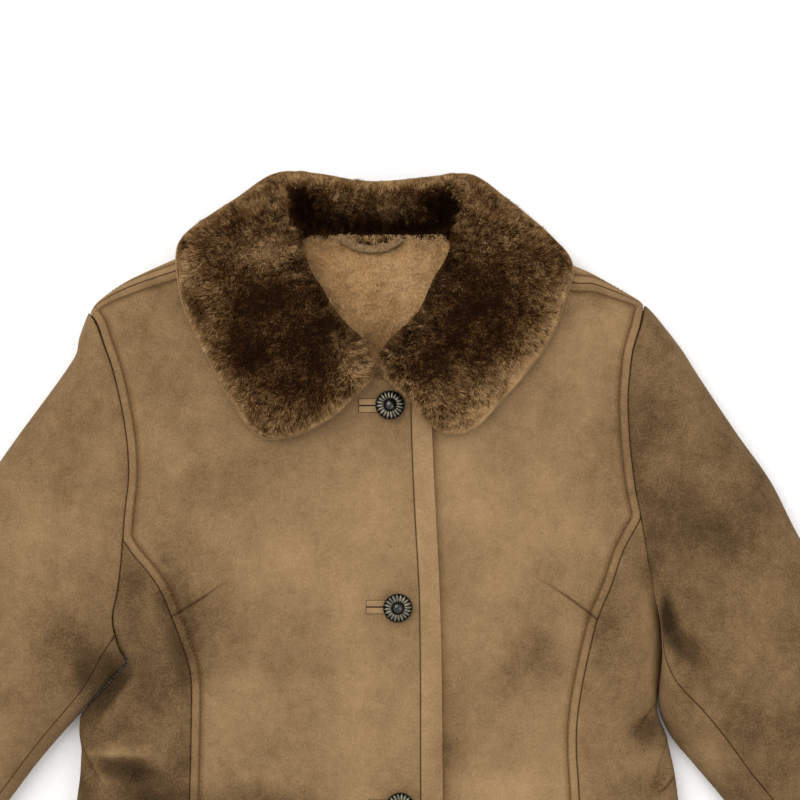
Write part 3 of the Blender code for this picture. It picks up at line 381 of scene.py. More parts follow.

# Where the leaves roll over from the stand; the fur behind them sinks and is darkened with painted shade.
ROLLS = Table("start_x start_y end_x end_y bow reach dark",
              (-68, 485, -57, 444, 0, 13, 1.1), (58, 446, 64, 481, -2.8, 20, 1.2))
ROLL_ENDS = {"steep": 4.5, "start": 0.3}        # how the fall dies away at a roll's two ends
ROLL_EDGE = 0.5                                 # width of the step at a roll
ROLL_RIM = {"before": 2.0, "reach": 1.8, "tint": 0.14}      # the lit fur along it

# Lighter and darker places of the wool inside the neck; the darker ones beside the collar's leaves are
# painted shade.
WOOL_SHADES = Table(
    "x y long wide turn amount",
    (20, 424, 26, 20, 0, 0.22), (30, 400, 14, 22, 10, 0.18), (-30, 420, 20, 18, 0, 0.04),
    (0, 368, 26, 16, 0, -0.3), (-40, 396, 12, 18, 20, -0.16), (40, 380, 10, 16, -20, -0.2),
    (6, 402, 22, 8, 0, -0.08), (-50, 440, 16, 10, 0, -0.1))


def smooth(t):
    """0 below 0, 1 above 1, and an even ramp between."""
    t = min(max(t, 0.0), 1.0)
    return t * t * (3 - 2 * t)


def mix(a, b, t):
    return a + (b - a) * t


def steps(start, end, count):
    """Even steps from start, which is left out, to end."""
    return [mix(start, end, i / count) for i in range(1, count + 1)]


def unit(vectors):
    """The same directions, each one long."""
    return vectors / np.maximum(np.linalg.norm(vectors, axis=-1, keepdims=True), 1e-6)


def side_of(x):
    return SIDES["left" if x > 0 else "right"]


def fold_x(side, y):
    """Half the body's width. Above the underarm it opens out again, so that the fold ends there."""
    x, top = side["underarm"]
    return side["fold"].read("x", y) if y <= top else x + (y - top)


def shoulder_y(side, x):
    rows = side["shoulder"].rows
    if x > rows[-1][0]:
        return rows[-1][1] - PAST_TIP_SLOPE * (x - rows[-1][0])
    if x < NECK_X:
        return shoulder_y(side, NECK_X) + PAST_NECK_SLOPE * (NECK_X - x)
    return side["shoulder"].read("y", x)


def edge_distances(x, y):
    """How far a point lies inside the side fold and inside the shoulder's fold."""
    side, step = side_of(x), OUTLINE_STEP
    out = abs(x)
    side_slope = (fold_x(side, y + step) - fold_x(side, y - step)) / (2 * step)
    top_slope = (shoulder_y(side, out + step) - shoulder_y(side, out - step)) / (2 * step)
    return ((fold_x(side, y) - out) / math.hypot(1, side_slope),
            (shoulder_y(side, out) - y) / math.hypot(1, top_slope))


def rounding(distances, reach):
    """0 on the level part of a skin, 1 on its folded edge."""
    return min(1.0, sum(max(0.0, 1 - max(d, 0.0) / reach) ** 2 for d in distances))


def plateau(x, y, lap):
    """Height of the upper skin away from its edges, with the right front's climb onto the left."""
    bump = math.exp(-((abs(x) - BUST["x"]) / BUST["reach_x"]) ** 2 - ((y - BUST["y"]) / BUST["reach_y"]) ** 2)
    crown = CROWN * (min(abs(x), CROWN_REACH) / CROWN_REACH) ** 2
    height = FRONT_HEIGHT.read("z", y) - crown + BUST["height"] * bump
    rise = smooth((x - LAP_RISE["start"]) / (LAP_RISE["full"] - LAP_RISE["start"]))
    return height + lap * (WALL + LAP_CLEARANCE) * rise


def upper_point(x, y, lap=0.0):
    """A point of the body's upper suede."""
    height = plateau(x, y, lap) - FOLD_Z
    level = math.sqrt(1 - rounding(edge_distances(x, y), UPPER_RIM * height))
    return x, y, FOLD_Z + SEAM_GAP / 2 + height * level


def lower_point(x, y):
    """A point of the body's underside, which is level except at its folds."""
    level = math.sqrt(1 - rounding(edge_distances(x, y), LOWER_RIM))
    return x, y, (FOLD_Z - SEAM_GAP / 2) * (1 - level)


def armhole_plan(side, share, nudge=0.0):
    """A point of the armhole's line, share of the way down from the shoulder, moved out by nudge."""
    y = mix(side["shoulder_tip"][1], side["underarm"][1], share)
    return side["sign"] * (side["armhole"].read("x", y) + nudge), y


def princess_plan(side, share, nudge=0.0):
    """A point of the princess seam, from the armhole to the hem."""
    y = mix(armhole_plan(side, side["princess_top"])[1], HEM_Y, share)
    return side["sign"] * (side["princess"].read("x", y) + nudge), y


def shoulder_plan(side, share, nudge=0.0):
    """A point of the shoulder seam, from the shoulder's tip to the neck."""
    out = mix(side["shoulder_tip"][0], NECK_X, share)
    drop = side["shoulder"].read("drop", out) + nudge
    return side["sign"] * out, side["shoulder"].read("y", out) - max(drop, 0.0)


def along(points, share):
    """A point part of the way along a run of points."""
    lengths = [math.dist(a, b) for a, b in zip(points, points[1:])]
    left = share * sum(lengths)
    for (a, b), length in zip(zip(points, points[1:]), lengths):
        if left <= length:
            return mix(a[0], b[0], left / length), mix(a[1], b[1], left / length)
        left -= length
    return points[-1]


def back_top(x):
    """The top edge of the back's underside: the shoulder's fold, or the neck seam."""
    return BACK_NECK_Y if abs(x) < NECK_X - 1 else side_of(x)["shoulder"].read("y", abs(x))


def sleeve_across(share, stretch):
    """Where a line lies across the sleeve: the front seam moves in from the lower edge by stretch."""
    moved = 1 - (1 - SLEEVE_SEAM) * stretch
    if share >= SLEEVE_SEAM:
        return 1 - (1 - share) * stretch
    part = max(share - SLEEVE_EASE, 0.0) / (SLEEVE_SEAM - SLEEVE_EASE)
    return share if share <= SLEEVE_EASE else mix(SLEEVE_EASE, moved, part)


def sleeve_plan(side, v, share):
    """A sleeve's point seen from above, and its distances from the sleeve's two edges."""
    read = side["sleeve"].read
    low, high = max(v - HEAD_RUN, 0.0), min(v + HEAD_RUN, 1.0)
    edges = ("outer_x", "outer_y"), ("lower_x", "lower_y")
    ends = [Vector([read(axis, v) for axis in edge]) for edge in edges]
    runs = [Vector([read(axis, high) - read(axis, low) for axis in edge]).normalized() for edge in edges]
    point = ends[0].lerp(ends[1], sleeve_across(share, read("seam", v)))
    distances = [max(abs((point - end).cross(run)), (point - end).length * LEAST_SLANT)
                 for end, run in zip(ends, runs)]
    return point, distances


def own_sleeve_point(side, v, share, upper):
    """A point of the sleeve's own flattened section."""
    point, distances = sleeve_plan(side, v, share)
    if upper:
        height = side["sleeve"].read("height", v) - FOLD_Z
        level = math.sqrt(1 - rounding(distances, UPPER_RIM * height))
        return Vector((point.x, point.y, FOLD_Z + SEAM_GAP / 2 + height * level))
    level = math.sqrt(1 - rounding(distances, LOWER_RIM))
    return Vector((point.x, point.y, (FOLD_Z - SEAM_GAP / 2) * (1 - level)))


def sleeve_point(side, v, share, upper):
    """A point of the sleeve: the armhole's line at its head, eased into its own section."""
    own = own_sleeve_point(side, v, share, upper)
    fade = 1 - smooth(v / SLEEVE_BLEND)
    flip = Vector((side["sign"], 1, 1))
    if fade:
        x, y = armhole_plan(side, share, SEAM_SIDE + TIP_RELIEF * (2 * share - 1) ** 4)
        head = Vector(upper_point(x, y) if upper else lower_point(x, y)) * flip
        own += (head - own_sleeve_point(side, 0.0, share, upper)) * fade
    return own * flip


def body_top(x, y):
    """Height of whatever lies uppermost on the body, with no step at the lap's edge."""
    past_edge = smooth((x - BAND.read("edge", y)) / LAP_EASE)
    return upper_point(x, y, 1 - past_edge)[2]


def drape_height(x, y):
    """The surface that the collar lies on: the fronts, then down past the shoulder to the table."""
    side = side_of(x)
    reach = DRAPE_REACH * smooth((y - DRAPE["y"]) / DRAPE["ease"])
    over = body_top(x, y - reach)
    outside = y - reach - shoulder_y(side, abs(x))
    return mix(over, SEAM_GAP, smooth(outside / DRAPE["fall"]))


def collar_section(n, t):
    """A point across the collar and its height above and below, from the neck edge to the outer edge."""
    row = {name: COLLAR.read(name, n) for name in COLLAR.columns[1:]}
    x, y = mix(row["inner_x"], row["outer_x"], t), mix(row["inner_y"], row["outer_y"], t)
    within_neck = 1 - smooth((abs(x) - STAND["x"]) / STAND["ease_x"])
    within_neck *= smooth((y - STAND["y"]) / STAND["ease_y"])
    floor = 0.0 if y >= BACK_NECK_Y else WALL + 1
    seat = mix(drape_height(x, y) + COLLAR_CLEARANCE, floor, within_neck) + LEATHER + FUR_GAP + SEAM_GAP
    leaf = (1 - abs(2 * t - 1) ** 3) ** 0.5
    lean = ROLL["lean"]
    roll = math.sin(math.pi * min(1.0, t * lean + (1 - lean) * t**6)) ** ROLL["fullness"] if t < 1 else 0.0
    return x, y, seat, row["fur"] * mix(leaf, roll, row["stand"])


def wander(x, y, size, seed):
    """Smooth uneven values from about -1 to 1 that change over size millimetres."""
    chance = np.random.default_rng(seed)
    total = np.zeros_like(np.asarray(x, float))
    for octave in range(7):
        turn, phase = chance.uniform(0, 2 * math.pi, 2)
        wave = 2 * math.pi / (size * chance.uniform(1.2, 3.2))
        total += np.sin((x * math.cos(turn) + y * math.sin(turn)) * wave + phase
                        + 1.3 * np.sin((y * math.cos(turn) - x * math.sin(turn)) * wave * 0.8 + octave))
    return total / 3.2


def spread(length, middle):
    """Shares along a row: close together near both of its ends and even between them."""
    near = [step / length for step in FINE_STEPS]
    return near + steps(near[-1], 1 - near[-1], middle + 1)[:-1] + [1 - share for share in reversed(near)]


def even_steps(points, step):
    """Shares that divide a run of points into steps of about one length."""
    run = np.concatenate([[0.0], np.cumsum(np.linalg.norm(np.diff(points, axis=0), axis=1))])
    wanted = np.linspace(0, run[-1], max(2, round(run[-1] / step) + 1))
    return np.interp(wanted, run, np.linspace(0, 1, len(points)))


def facing_of(points, up):
    """The direction that each point of a grid faces. up is +1 where the grid's corner faces upwards."""
    normal = np.cross(np.gradient(points, axis=1), np.gradient(points, axis=0))
    length = np.linalg.norm(normal, axis=2, keepdims=True)
    normal = normal / np.maximum(length, 1e-9)
    for row in range(len(points) - 2, -1, -1):
        thin = length[row, :, 0] < 1e-6
        normal[row, thin] = normal[row + 1, thin]
    return normal * (up * np.sign(normal[len(points) // 2, 2, 2]))


def run_distances(points, run):
    """Each point's distance from a run of points."""
    share = np.linspace(0, 1, 5)[:-1, None, None]
    dense = (run[None, :-1] * (1 - share) + run[None, 1:] * share).reshape(-1, 3)
    flat = points.reshape(-1, 3)
    found = np.full(len(flat), 1e9)
    for part in np.array_split(dense, max(1, len(dense) // 64)):
        found = np.minimum(found, ((flat[:, None, :] - part[None]) ** 2).sum(axis=2).min(axis=1))
    return np.sqrt(found).reshape(points.shape[:2])


class Panel:
    """One cut piece of shearling as a grid of points, with its seams, folds and lighter and darker places."""

    def __init__(self, name, points, up=1.0, seams=(), stitched=(), tone=0.0, middles=None):
        self.name = name
        self.points = np.array(points, float)
        self.middles = self.points * (0.92, 0.92, 0) + (0, 0, FOLD_Z) if middles is None else middles
        edges = {"head": self.points[0], "foot": self.points[-1],
                 "start": self.points[:, 0], "end": self.points[:, -1]}
        self.from_edge = {edge: run_distances(self.points, edges[edge]) for edge in {*seams, *stitched}}
        far = np.full(self.points.shape[:2], FAR_FROM_SEAM)
        self.seam = np.minimum.reduce([far] + [self.from_edge[edge] for edge in seams])
        self.stitched = stitched
        self.stitch = np.minimum.reduce([far] + [self.from_edge[edge] for edge in stitched])
        x, y = self.points[..., 0], self.points[..., 1]
        # The panel's tone with the table's patches: the hide's colour and wear, with painted shade and
        # painted light among them.
        self.tone = tone + TONE_SHARE * read_patches(SUEDE_TONE_AND_SHADE, x, y) * (1.0 if up > 0 else 0.4)
        self.crease, self.sharp = far.copy(), np.zeros_like(far)
        self.facing = self.settled(facing_of(self.points, up))
        self.shape_folds(up)

    def shape_folds(self, up):
        """Moves the points along the way they face: soft folds, then the seam's puff and groove."""
        x, y, z = (self.points[..., i] for i in range(3))
        upper = np.clip((z - FOLD_Z) / FOLD_Z, 0, 1)
        relief = np.zeros_like(x)
        for fold in FOLDS.records():
            away, within, *_ = from_line(x, y, fold)
            shape = np.exp(-(away / fold["width"]) ** 2) * within
            share = upper if fold["side"] > 0 else 1 - upper
            relief += fold["height"] * shape * share
            # Painted shade in the troughs, and wear with painted light on the ridges.
            self.tone += FOLD_WEAR_AND_SHADE * fold["height"] * shape * share
        relief *= self.clearance(x, y)
        swell = sum(height * wander(x, y, size, seed) for height, size, seed in SWELL)
        relief += self.clearance(x, y) * upper * swell
        relief += PUFF["height"] * np.exp(-((self.stitch - PUFF["place"]) / PUFF["reach"]) ** 2)
        relief -= GROOVE["depth"] * np.exp(-(self.seam / GROOVE["reach"]) ** 2)
        self.points += self.facing * relief[..., None]
        self.facing = self.settled(facing_of(self.points, up))
        # The creases' lines for the suede's dip and dark line: painted shade where they are folds.
        for line in CREASES.records():
            if self.name.startswith(line["panel"]):
                away, _, signed, part = from_line(x, y, line)
                near = (away < np.abs(self.crease)) & (upper > 0.3)
                fade = np.clip(2 * (1 - part), 0, 1) * line["strength"] * np.exp(-(away / CREASE_REACH) ** 2)
                self.crease = np.where(near, signed, self.crease)
                self.sharp = np.where(near, fade, self.sharp)

    def settled(self, facing):
        """Facings turned outwards and evened out, as near a seam two runs of the grid can almost line up."""
        outwards = self.points - self.middles
        facing = np.where((facing * outwards).sum(axis=2, keepdims=True) < 0, -facing, facing)
        for _ in range(2):
            wide = np.pad(facing, ((1, 1), (1, 1), (0, 0)), mode="edge")
            facing = 2 * facing + wide[:-2, 1:-1] + wide[2:, 1:-1] + wide[1:-1, :-2] + wide[1:-1, 2:]
            facing = unit(facing)
        height = self.points[..., 2] - FOLD_Z
        level = np.clip((np.abs(height) - UPRIGHT["from"]) / UPRIGHT["over"], 0, 1)
        share = (level * np.exp(-(self.seam / UPRIGHT["reach"]) ** 2))[..., None]
        facing = facing * (1 - share) + np.sign(height)[..., None] * share * (0.0, 0.0, 1.0)
        return unit(facing)

    @staticmethod
    def clearance(x, y):
        """0 beneath the buttons and their holes, where the suede stays level, and 1 away from them."""
        level = np.ones_like(x)
        for _, button_x, button_y, _ in BUTTONS.rows:
            u = (x - button_x + LEVEL_SPOT["shift"]) / LEVEL_SPOT["long"]
            v = (y - button_y) / LEVEL_SPOT["wide"]
            level *= 1 - np.exp(-(u**2 + v**2) ** 2)
        return level

    def within(self):
        """The wool side. The wall is pressed thinner along its seams."""
        pressed = np.clip(self.seam / PRESSED["reach"], 0, 1)[..., None]
        return self.points - self.facing * mix(PRESSED["share"], 1.0, pressed) * WALL

    def stitch_lines(self):
        """The points and facings of each row of topstitching, beside the seams that have one."""
        for edge in self.stitched:
            distance = self.from_edge[edge]
            grid, facing = self.points, self.facing
            if edge in ("head", "foot"):
                distance, grid, facing = distance.T, grid.transpose(1, 0, 2), facing.transpose(1, 0, 2)
            if edge in ("end", "foot"):
                distance, grid, facing = distance[:, ::-1], grid[:, ::-1], facing[:, ::-1]
            line = []
            for row, places, faces in zip(distance, grid, facing):
                past = int(np.argmax(row > TOPSTITCH))
                if past:
                    t = (TOPSTITCH - row[past - 1]) / (row[past] - row[past - 1])
                    line.append((mix(places[past - 1], places[past], t), faces[past]))
            if len(line) > 3:
                yield np.array([p for p, _ in line]), np.array([f for _, f in line])


def from_line(x, y, line):
    """Distances from a bowed line, its fade past its ends, the signed distances and the share along it."""
    start = np.array((line["start_x"], line["start_y"]), float)
    run = np.array((line["end_x"], line["end_y"]), float) - start
    length = np.linalg.norm(run)
    run /= length
    part = ((x - start[0]) * run[0] + (y - start[1]) * run[1]) / length
    bow = line["bow"] * 4 * part * (1 - part)
    signed = (y - start[1]) * run[0] - (x - start[0]) * run[1] - bow
    over = np.maximum(np.abs(part - 0.5) - 0.5, 0) * length
    within = np.exp(-(over / LINE_FADE["past_end"]) ** 2)
    within *= np.clip(LINE_FADE["middle"] - LINE_FADE["falls"] * np.abs(part - 0.5), 0, 1)
    return np.hypot(signed, over), within, signed, part


def read_patches(patches, x, y):
    """The sum of soft oval patches at each point."""
    total = np.zeros_like(x)
    for patch in patches.records():
        turn = math.radians(patch["turn"])
        dx, dy = x - patch["x"], y - patch["y"]
        u = (dx * math.cos(turn) + dy * math.sin(turn)) / patch["long"]
        v = (dy * math.cos(turn) - dx * math.sin(turn)) / patch["wide"]
        total += patch["amount"] * np.exp(-((u * u + v * v) ** 1.4))
    return total


def make_piece(name, mesh, finishes, slot, nodes):
    """Turns a mesh in millimetres into a finished piece in metres that stands for its nodes."""
    bmesh.ops.scale(mesh, vec=(MM, MM, MM), verts=mesh.verts)
    data = bpy.data.meshes.new(name)
    for face in mesh.faces:
        face.smooth = True
    mesh.to_mesh(data)
    mesh.free()
    return ride(name, data, finishes, slot, nodes)


def ride(name, data, finishes, slot, nodes):
    """Makes a mesh a piece that goes with the coat and stands for its nodes."""
    for made in finishes:
        data.materials.append(made)
    piece = bpy.data.objects.new(name, data)
    bpy.context.collection.objects.link(piece)
    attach(piece, "root")
    if nodes:
        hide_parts(*nodes)
    return piece


def build_shell(name, outside, within, values, finishes, slot, nodes):
    """A closed wall between two grids: the finishes are its outside, its inside and its cut edges."""
    rows, columns = outside.shape[:2]
    mesh = bmesh.new()
    layers = {key: mesh.verts.layers.float.new(key) for key in (*values, "depth")}
    bmesh.ops.create_grid(mesh, x_segments=columns - 1, y_segments=rows - 1, size=0.5)
    lifted = bmesh.ops.extrude_face_region(mesh, geom=mesh.faces[:], use_keep_orig=True)["geom"]
    top_faces = {item for item in lifted if isinstance(item, bmesh.types.BMFace)}
    lifted = {item for item in lifted if isinstance(item, bmesh.types.BMVert)}
    for vert in mesh.verts:
        column, row = round((vert.co.x + 0.5) * (columns - 1)), round((vert.co.y + 0.5) * (rows - 1))
        top = vert in lifted
        vert.co = (outside if top else within)[row, column]
        for key, grid in values.items():
            vert[layers[key]] = grid[row, column]
        vert[layers["depth"]] = 0.0 if top else 1.0
    for face in mesh.faces:
        sides = {vert in lifted for vert in face.verts}
        face.material_index = 0 if face in top_faces else 2 if len(sides) == 2 else 1
    bmesh.ops.recalc_face_normals(mesh, faces=mesh.faces)
    bmesh.ops.scale(mesh, vec=(MM, MM, MM), verts=mesh.verts)
    bmesh.ops.remove_doubles(mesh, verts=mesh.verts, dist=2e-6)
    bmesh.ops.dissolve_degenerate(mesh, dist=1e-7, edges=mesh.edges)
    for edge in mesh.edges:
        edge.smooth = len({face.material_index for face in edge.link_faces}) < 2
    for face in mesh.faces:
        face.smooth = True
    data = bpy.data.meshes.new(name)
    mesh.to_mesh(data)
    mesh.free()
    return ride(name, data, finishes, slot, nodes)


def dress_panel(panel, finishes, flat, area, node):
    """Makes a panel's wall and keeps the panel for the stitching and the cut edges."""
    values = {key: getattr(panel, key) for key in ("tone", "seam", "stitch", "crease", "sharp")}
    piece = build_shell(panel.name, panel.points, panel.within(), values, finishes, "suede", [node])
    PANELS[panel.name] = panel


def front_points(side_name, neckline, edge, lap):
    """A front: rows run from its armhole and princess seam to its neckline and front edge."""
    side = SIDES[side_name]
    upper_rows = [0.0, 0.05, 0.09, 0.13, 0.17, 0.21] + steps(0.21, 1.0, 50)[:-1]
    lower_rows = [0.0] + steps(0.0, 0.42, 84) + steps(0.42, 1.0, 74)
    rows = [(s, None) for s in upper_rows] + [(1.0, q) for q in lower_rows]
    first = shoulder_plan(side, 0.0, SEAM_GAP)
    grid = []
    for s, q in rows:
        if q is None:
            start = armhole_plan(side, side["princess_top"] * s**1.8, -SEAM_SIDE)
            end = along(neckline, s)
        else:
            start = princess_plan(side, q, -SEAM_SIDE)
            y = mix(neckline[-1][1], HEM_Y, q)
            end = edge(y), y
        fade = (1 - s) ** 2
        line = []
        for share in spread(math.dist(start, end), 28):
            x, y = mix(start[0], end[0], share), mix(start[1], end[1], share)
            if fade:
                top = shoulder_plan(side, share, SEAM_GAP)
                x += (top[0] - mix(first[0], neckline[0][0], share)) * fade
                y += (top[1] - mix(first[1], neckline[0][1], share)) * fade
            line.append(upper_point(x, y, lap))
        grid.append(line)
    return grid


def side_points(side_name):
    """The side front: from the princess seam out to the armhole and the side fold."""
    side = SIDES[side_name]
    top, top_y = side["princess_top"], armhole_plan(side, side["princess_top"])[1]
    grid = []
    rows = [0.0, 0.004] + steps(0.004, 0.36, 66) + steps(0.36, 1.0, 60)
    turning = (top_y - side["underarm"][1]) / (top_y - HEM_Y)
    for q in rows:
        start = princess_plan(side, q, SEAM_SIDE)
        if q < turning:
            end = armhole_plan(side, mix(top, 1.0, q / turning), -SEAM_SIDE)
        else:
            y = mix(top_y, HEM_Y, q)
            press = side["press"] * math.exp(-((side["underarm"][1] - y) / PRESS_REACH) ** 4)
            end = side["sign"] * (side["fold"].read("x", y) + press), y
        if q == 0.0:
            end = start
        wide = max(math.dist(start, end), 4 * FINE_STEPS[-1])
        grid.append([upper_point(mix(start[0], end[0], share), mix(start[1], end[1], share))
                     for share in spread(wide, 18)])
    return grid


def back_points():
    """The back: rows run from the right side to the left, up from the hem and over the shoulders."""
    right, left = SIDES["right"], SIDES["left"]
    tips = -right["shoulder_tip"][0], left["shoulder_tip"][0]
    shares = spread(tips[1] - tips[0], 84)
    grid = []
    for q in [0.0] + steps(0.0, 1.0, 72):
        y_right, y_left = (mix(HEM_Y, side["underarm"][1], q) for side in (right, left))
        start, end = -right["fold"].read("x", y_right), left["fold"].read("x", y_left)
        grid.append([lower_point(mix(start, end, s), mix(y_right, y_left, s)) for s in shares])
    for up in steps(0.0, 1.0, 44):
        start, end = (armhole_plan(side, 1 - up, -SEAM_SIDE) for side in (right, left))
        line = []
        for s in shares:
            x_top = mix(*tips, s)
            y_low = mix(right["underarm"][1], left["underarm"][1], s)
            line.append(lower_point(mix(start[0], end[0], s), mix(y_low, back_top(x_top), up)))
        grid.append(line)
    for wrap in BACK_WRAP:
        line = []
        for s in shares:
            x = mix(*tips, s)
            drop = 0.0
            if abs(x) >= NECK_X - 1:
                drop = max(0.0, side_of(x)["shoulder"].read("drop", abs(x)) * wrap - SEAM_GAP / 2)
            line.append(upper_point(x, back_top(x) - drop) if drop else lower_point(x, back_top(x)))
        grid.append(line)
    return grid


def sleeve_points(side_name, top):
    """One of the two pieces of a sleeve, as rows from its head to its cuff."""
    side = SIDES[side_name]
    shares = np.linspace(0, 1, 90)
    ring = [(share, True) for share in (shares[::-1] * SLEEVE_SEAM if top else mix(SLEEVE_SEAM, 1.0, shares))]
    under = shares * BACK_SLEEVE_SEAM if top else mix(1.0, BACK_SLEEVE_SEAM, shares)
    ring += [(share, False) for share in under[1:]]
    girth = np.array([sleeve_point(side, 0.4, share, upper) for share, upper in ring])
    picked = np.unique(np.round(even_steps(girth, 4.6) * (len(ring) - 1)).astype(int))
    rows = [0.0, 0.004, 0.009, 0.015, 0.022] + steps(0.022, 0.7, 96) + steps(0.7, 1.0, 30)
    grid = np.array([[sleeve_point(side, v, *ring[i]) for i in picked] for v in rows])
    for end, near in ((0, 1), (-1, -2)):
        pull = grid[:, near] - grid[:, end]
        grid[:, end] += pull / np.linalg.norm(pull, axis=1, keepdims=True) * SEAM_GAP / 2
    spine = [[mix(side["sleeve"].read("outer_" + axis, v), side["sleeve"].read("lower_" + axis, v), 0.5)
              for axis in "xy"] for v in np.linspace(0, 1, 51)]
    # At the head, the sleeve's own run is the way inwards, and most so at its lower edge.
    further = np.minimum(np.array(rows)[:, None] + 0.2 * np.array([ring[i][0] for i in picked])[None], 1.0)
    across, down = (np.interp(further, np.linspace(0, 1, 51), line) for line in np.array(spine).T)
    middles = np.stack([side["sign"] * across, down, np.full_like(down, FOLD_Z)], axis=2)
    return grid, middles


def band_points():
    """The strip along the right front's edge, as rows from its seam to the edge."""
    rows = []
    shares = (0, 0.08, 0.2, 0.35, 0.5, 0.65, 0.8, 0.92, 1)
    for q in [0.0] + steps(0.0, 1.0, 190):
        y = mix(BAND.rows[-1][0], HEM_Y, q)
        start, end = BAND.read("seam", y) + SEAM_GAP, BAND.read("edge", y)
        rows.append([upper_point(mix(start, end, s), y, 1.0) for s in shares])
    return rows


def collar_field(top=True):
    """The collar's upper or lower surface, as a fine grid from its right end round to its left."""
    ends = COLLAR.rows[0][0], COLLAR.rows[-1][0]
    grid = []
    for n in np.linspace(*ends, 241):
        line = []
        for t in (1 - np.cos(np.linspace(0, math.pi, 29))) / 2:
            x, y, seat, fur = collar_section(n, t)
            line.append((x, y, seat + (fur if top and n not in ends else 0)))
        if top:
            fallen = roll_depth(*np.array(line).T[:2])[0]
            line = [(x, y, z - ROLL_DROP * min(gone, 1.0)) for (x, y, z), gone in zip(line, fallen)]
        start = line[0]
        tucked = smooth((start[1] - TUCK["y"]) / TUCK["ease"])
        hangs = LOOP_FUR["depth"] * math.exp(-(((start[0] - LOOP_FUR["x"]) / LOOP_FUR["reach"]) ** 4))
        neck = (start[0] * 0.96, BACK_NECK_Y - 1.5 - hangs, WALL + (0.8 + 0.6 * hangs if top else 0.2))
        grid.append([[mix(a, b, tucked) for a, b in zip(start, neck)]] + line)
    return np.array(grid, float)


def linear(code):
    """An sRGB hex colour as Blender's linear values."""
    parts = [int(code[i:i + 2], 16) / 255 for i in (1, 3, 5)]
    return [part / 12.92 if part <= 0.04045 else ((part + 0.055) / 1.055) ** 2.4 for part in parts]


def grow(name, field, facing, flow, shade, seed, density, length, width, lean, clump, rolled=False):
    """Short fibres on a grid of points, as flat blades that bend the way the pile lies.

    density is how many stand on a square millimetre, lean tips them along flow, clump swirls them, and fur
    that is rolled is trimmed at its outer edge, darkened with painted shade behind the leaves' rolls and
    lightened with painted light along them.
    """
    chance = np.random.default_rng(seed)
    a, b, c = field[:-1, :-1], field[1:, :-1], field[:-1, 1:]
    cells = np.linalg.norm(np.cross(b - a, c - a), axis=2)
    sums = np.cumsum(cells.ravel())
    count = int(sums[-1] * density)
    picked = np.searchsorted(sums, chance.uniform(0, sums[-1], count))
    row, column = np.minimum(picked // cells.shape[1], cells.shape[0] - 1), picked % cells.shape[1]
    u, v = chance.uniform(0, 1, (2, count, 1))

    def between(grid):
        """The grid's value at each fibre's root."""
        grid = grid if grid.ndim == 3 else grid[..., None]
        near = grid[row, column] * (1 - u) + grid[row + 1, column] * u
        far = grid[row, column + 1] * (1 - u) + grid[row + 1, column + 1] * u
        return near * (1 - v) + far * v

    root, up, comb, tint = between(field), between(facing), between(flow), between(shade)[:, 0]
    up = unit(up)
    x, y = root[:, 0], root[:, 1]
    swirl = clump * (0.9 * wander(x, y, 15, seed + 1) + 0.8 * wander(x, y, 5, seed + 2))
    swirl += chance.normal(0, UNEVEN["swirl"], count)
    comb -= up * (comb * up).sum(axis=1, keepdims=True)
    comb = unit(comb)
    aside = np.cross(up, comb)
    comb = comb * np.cos(swirl)[:, None] + aside * np.sin(swirl)[:, None]
    slope = lean + 0.16 * wander(x, y, 7, seed + 3) + chance.normal(0, UNEVEN["lean"], count)
    trim = 1.0
    if rolled:
        from_edge = 1 - (column + v[:, 0]) / cells.shape[1]
        trim = 1 - TRIM["share"] * np.exp(-(from_edge / TRIM["reach"]) ** 2)
    uneven = 1 + 0.18 * wander(x, y, 9, seed + 4) + chance.normal(0, UNEVEN["length"], count)
    reach = (length * trim * uneven)[:, None]
    rise, lie = np.cos(slope)[:, None], np.sin(slope)[:, None]
    middle = root + reach * BEND["at"] * (up * rise + comb * lie)
    rise, lie = np.cos(slope + BEND["by"])[:, None], np.sin(slope + BEND["by"])[:, None]
    tip = middle + reach * (1 - BEND["at"]) * (up * rise + comb * lie)
    spin = chance.uniform(-UNEVEN["spin"], UNEVEN["spin"], count)[:, None]
    across = np.cross(up, comb) * np.cos(spin) + up * np.sin(spin)
    across *= width / 2 * chance.uniform(1 - UNEVEN["width"], 1 + UNEVEN["width"], (count, 1))
    narrower = across * 0.8
    verts = np.stack([root - across, root + across, middle + narrower, middle - narrower, tip], axis=1)
    first = (np.arange(count) * 5)[:, None]
    corners = np.concatenate([first + (0, 1, 2, 3), first + (3, 2, 4)], axis=1)
    data = bpy.data.meshes.new(name)
    data.vertices.add(count * 5)
    data.vertices.foreach_set("co", (verts * MM).ravel())
    data.loops.add(corners.size)
    data.loops.foreach_set("vertex_index", corners.ravel().astype(np.int32))
    data.polygons.add(count * 2)
    starts = (np.arange(count) * 7)[:, None] + (0, 4)
    data.polygons.foreach_set("loop_start", starts.ravel().astype(np.int32))
    data.update(calc_edges=True)
    tint = tint + chance.normal(0, UNEVEN["tint"], count)
    for amount, size in TUFTS:
        tint = tint + amount * tufts(x, y, size, chance)
    # Painted shade behind the leaves' rolls and painted light along their rims.
    if rolled:
        fallen, rim = roll_depth(x, y)
        tint += ROLL_RIM["tint"] * rim - fallen
    for key, value in (("shade", np.repeat(tint, 5)), ("tip", np.tile((0, 0, 0.6, 0.6, 1.0), count))):
        data.attributes.new(key, "FLOAT", "POINT").data.foreach_set("value", value)
    return data


def tufts(x, y, size, chance):
    """A random value for each small tuft of the pile, blurred a little where tufts meet."""
    cells = chance.uniform(-1, 1, (97, 97))
    u, v = (np.floor(place / size + chance.normal(0, 0.22, len(x))).astype(int) % 97 for place in (x, y))
    return cells[u, v]


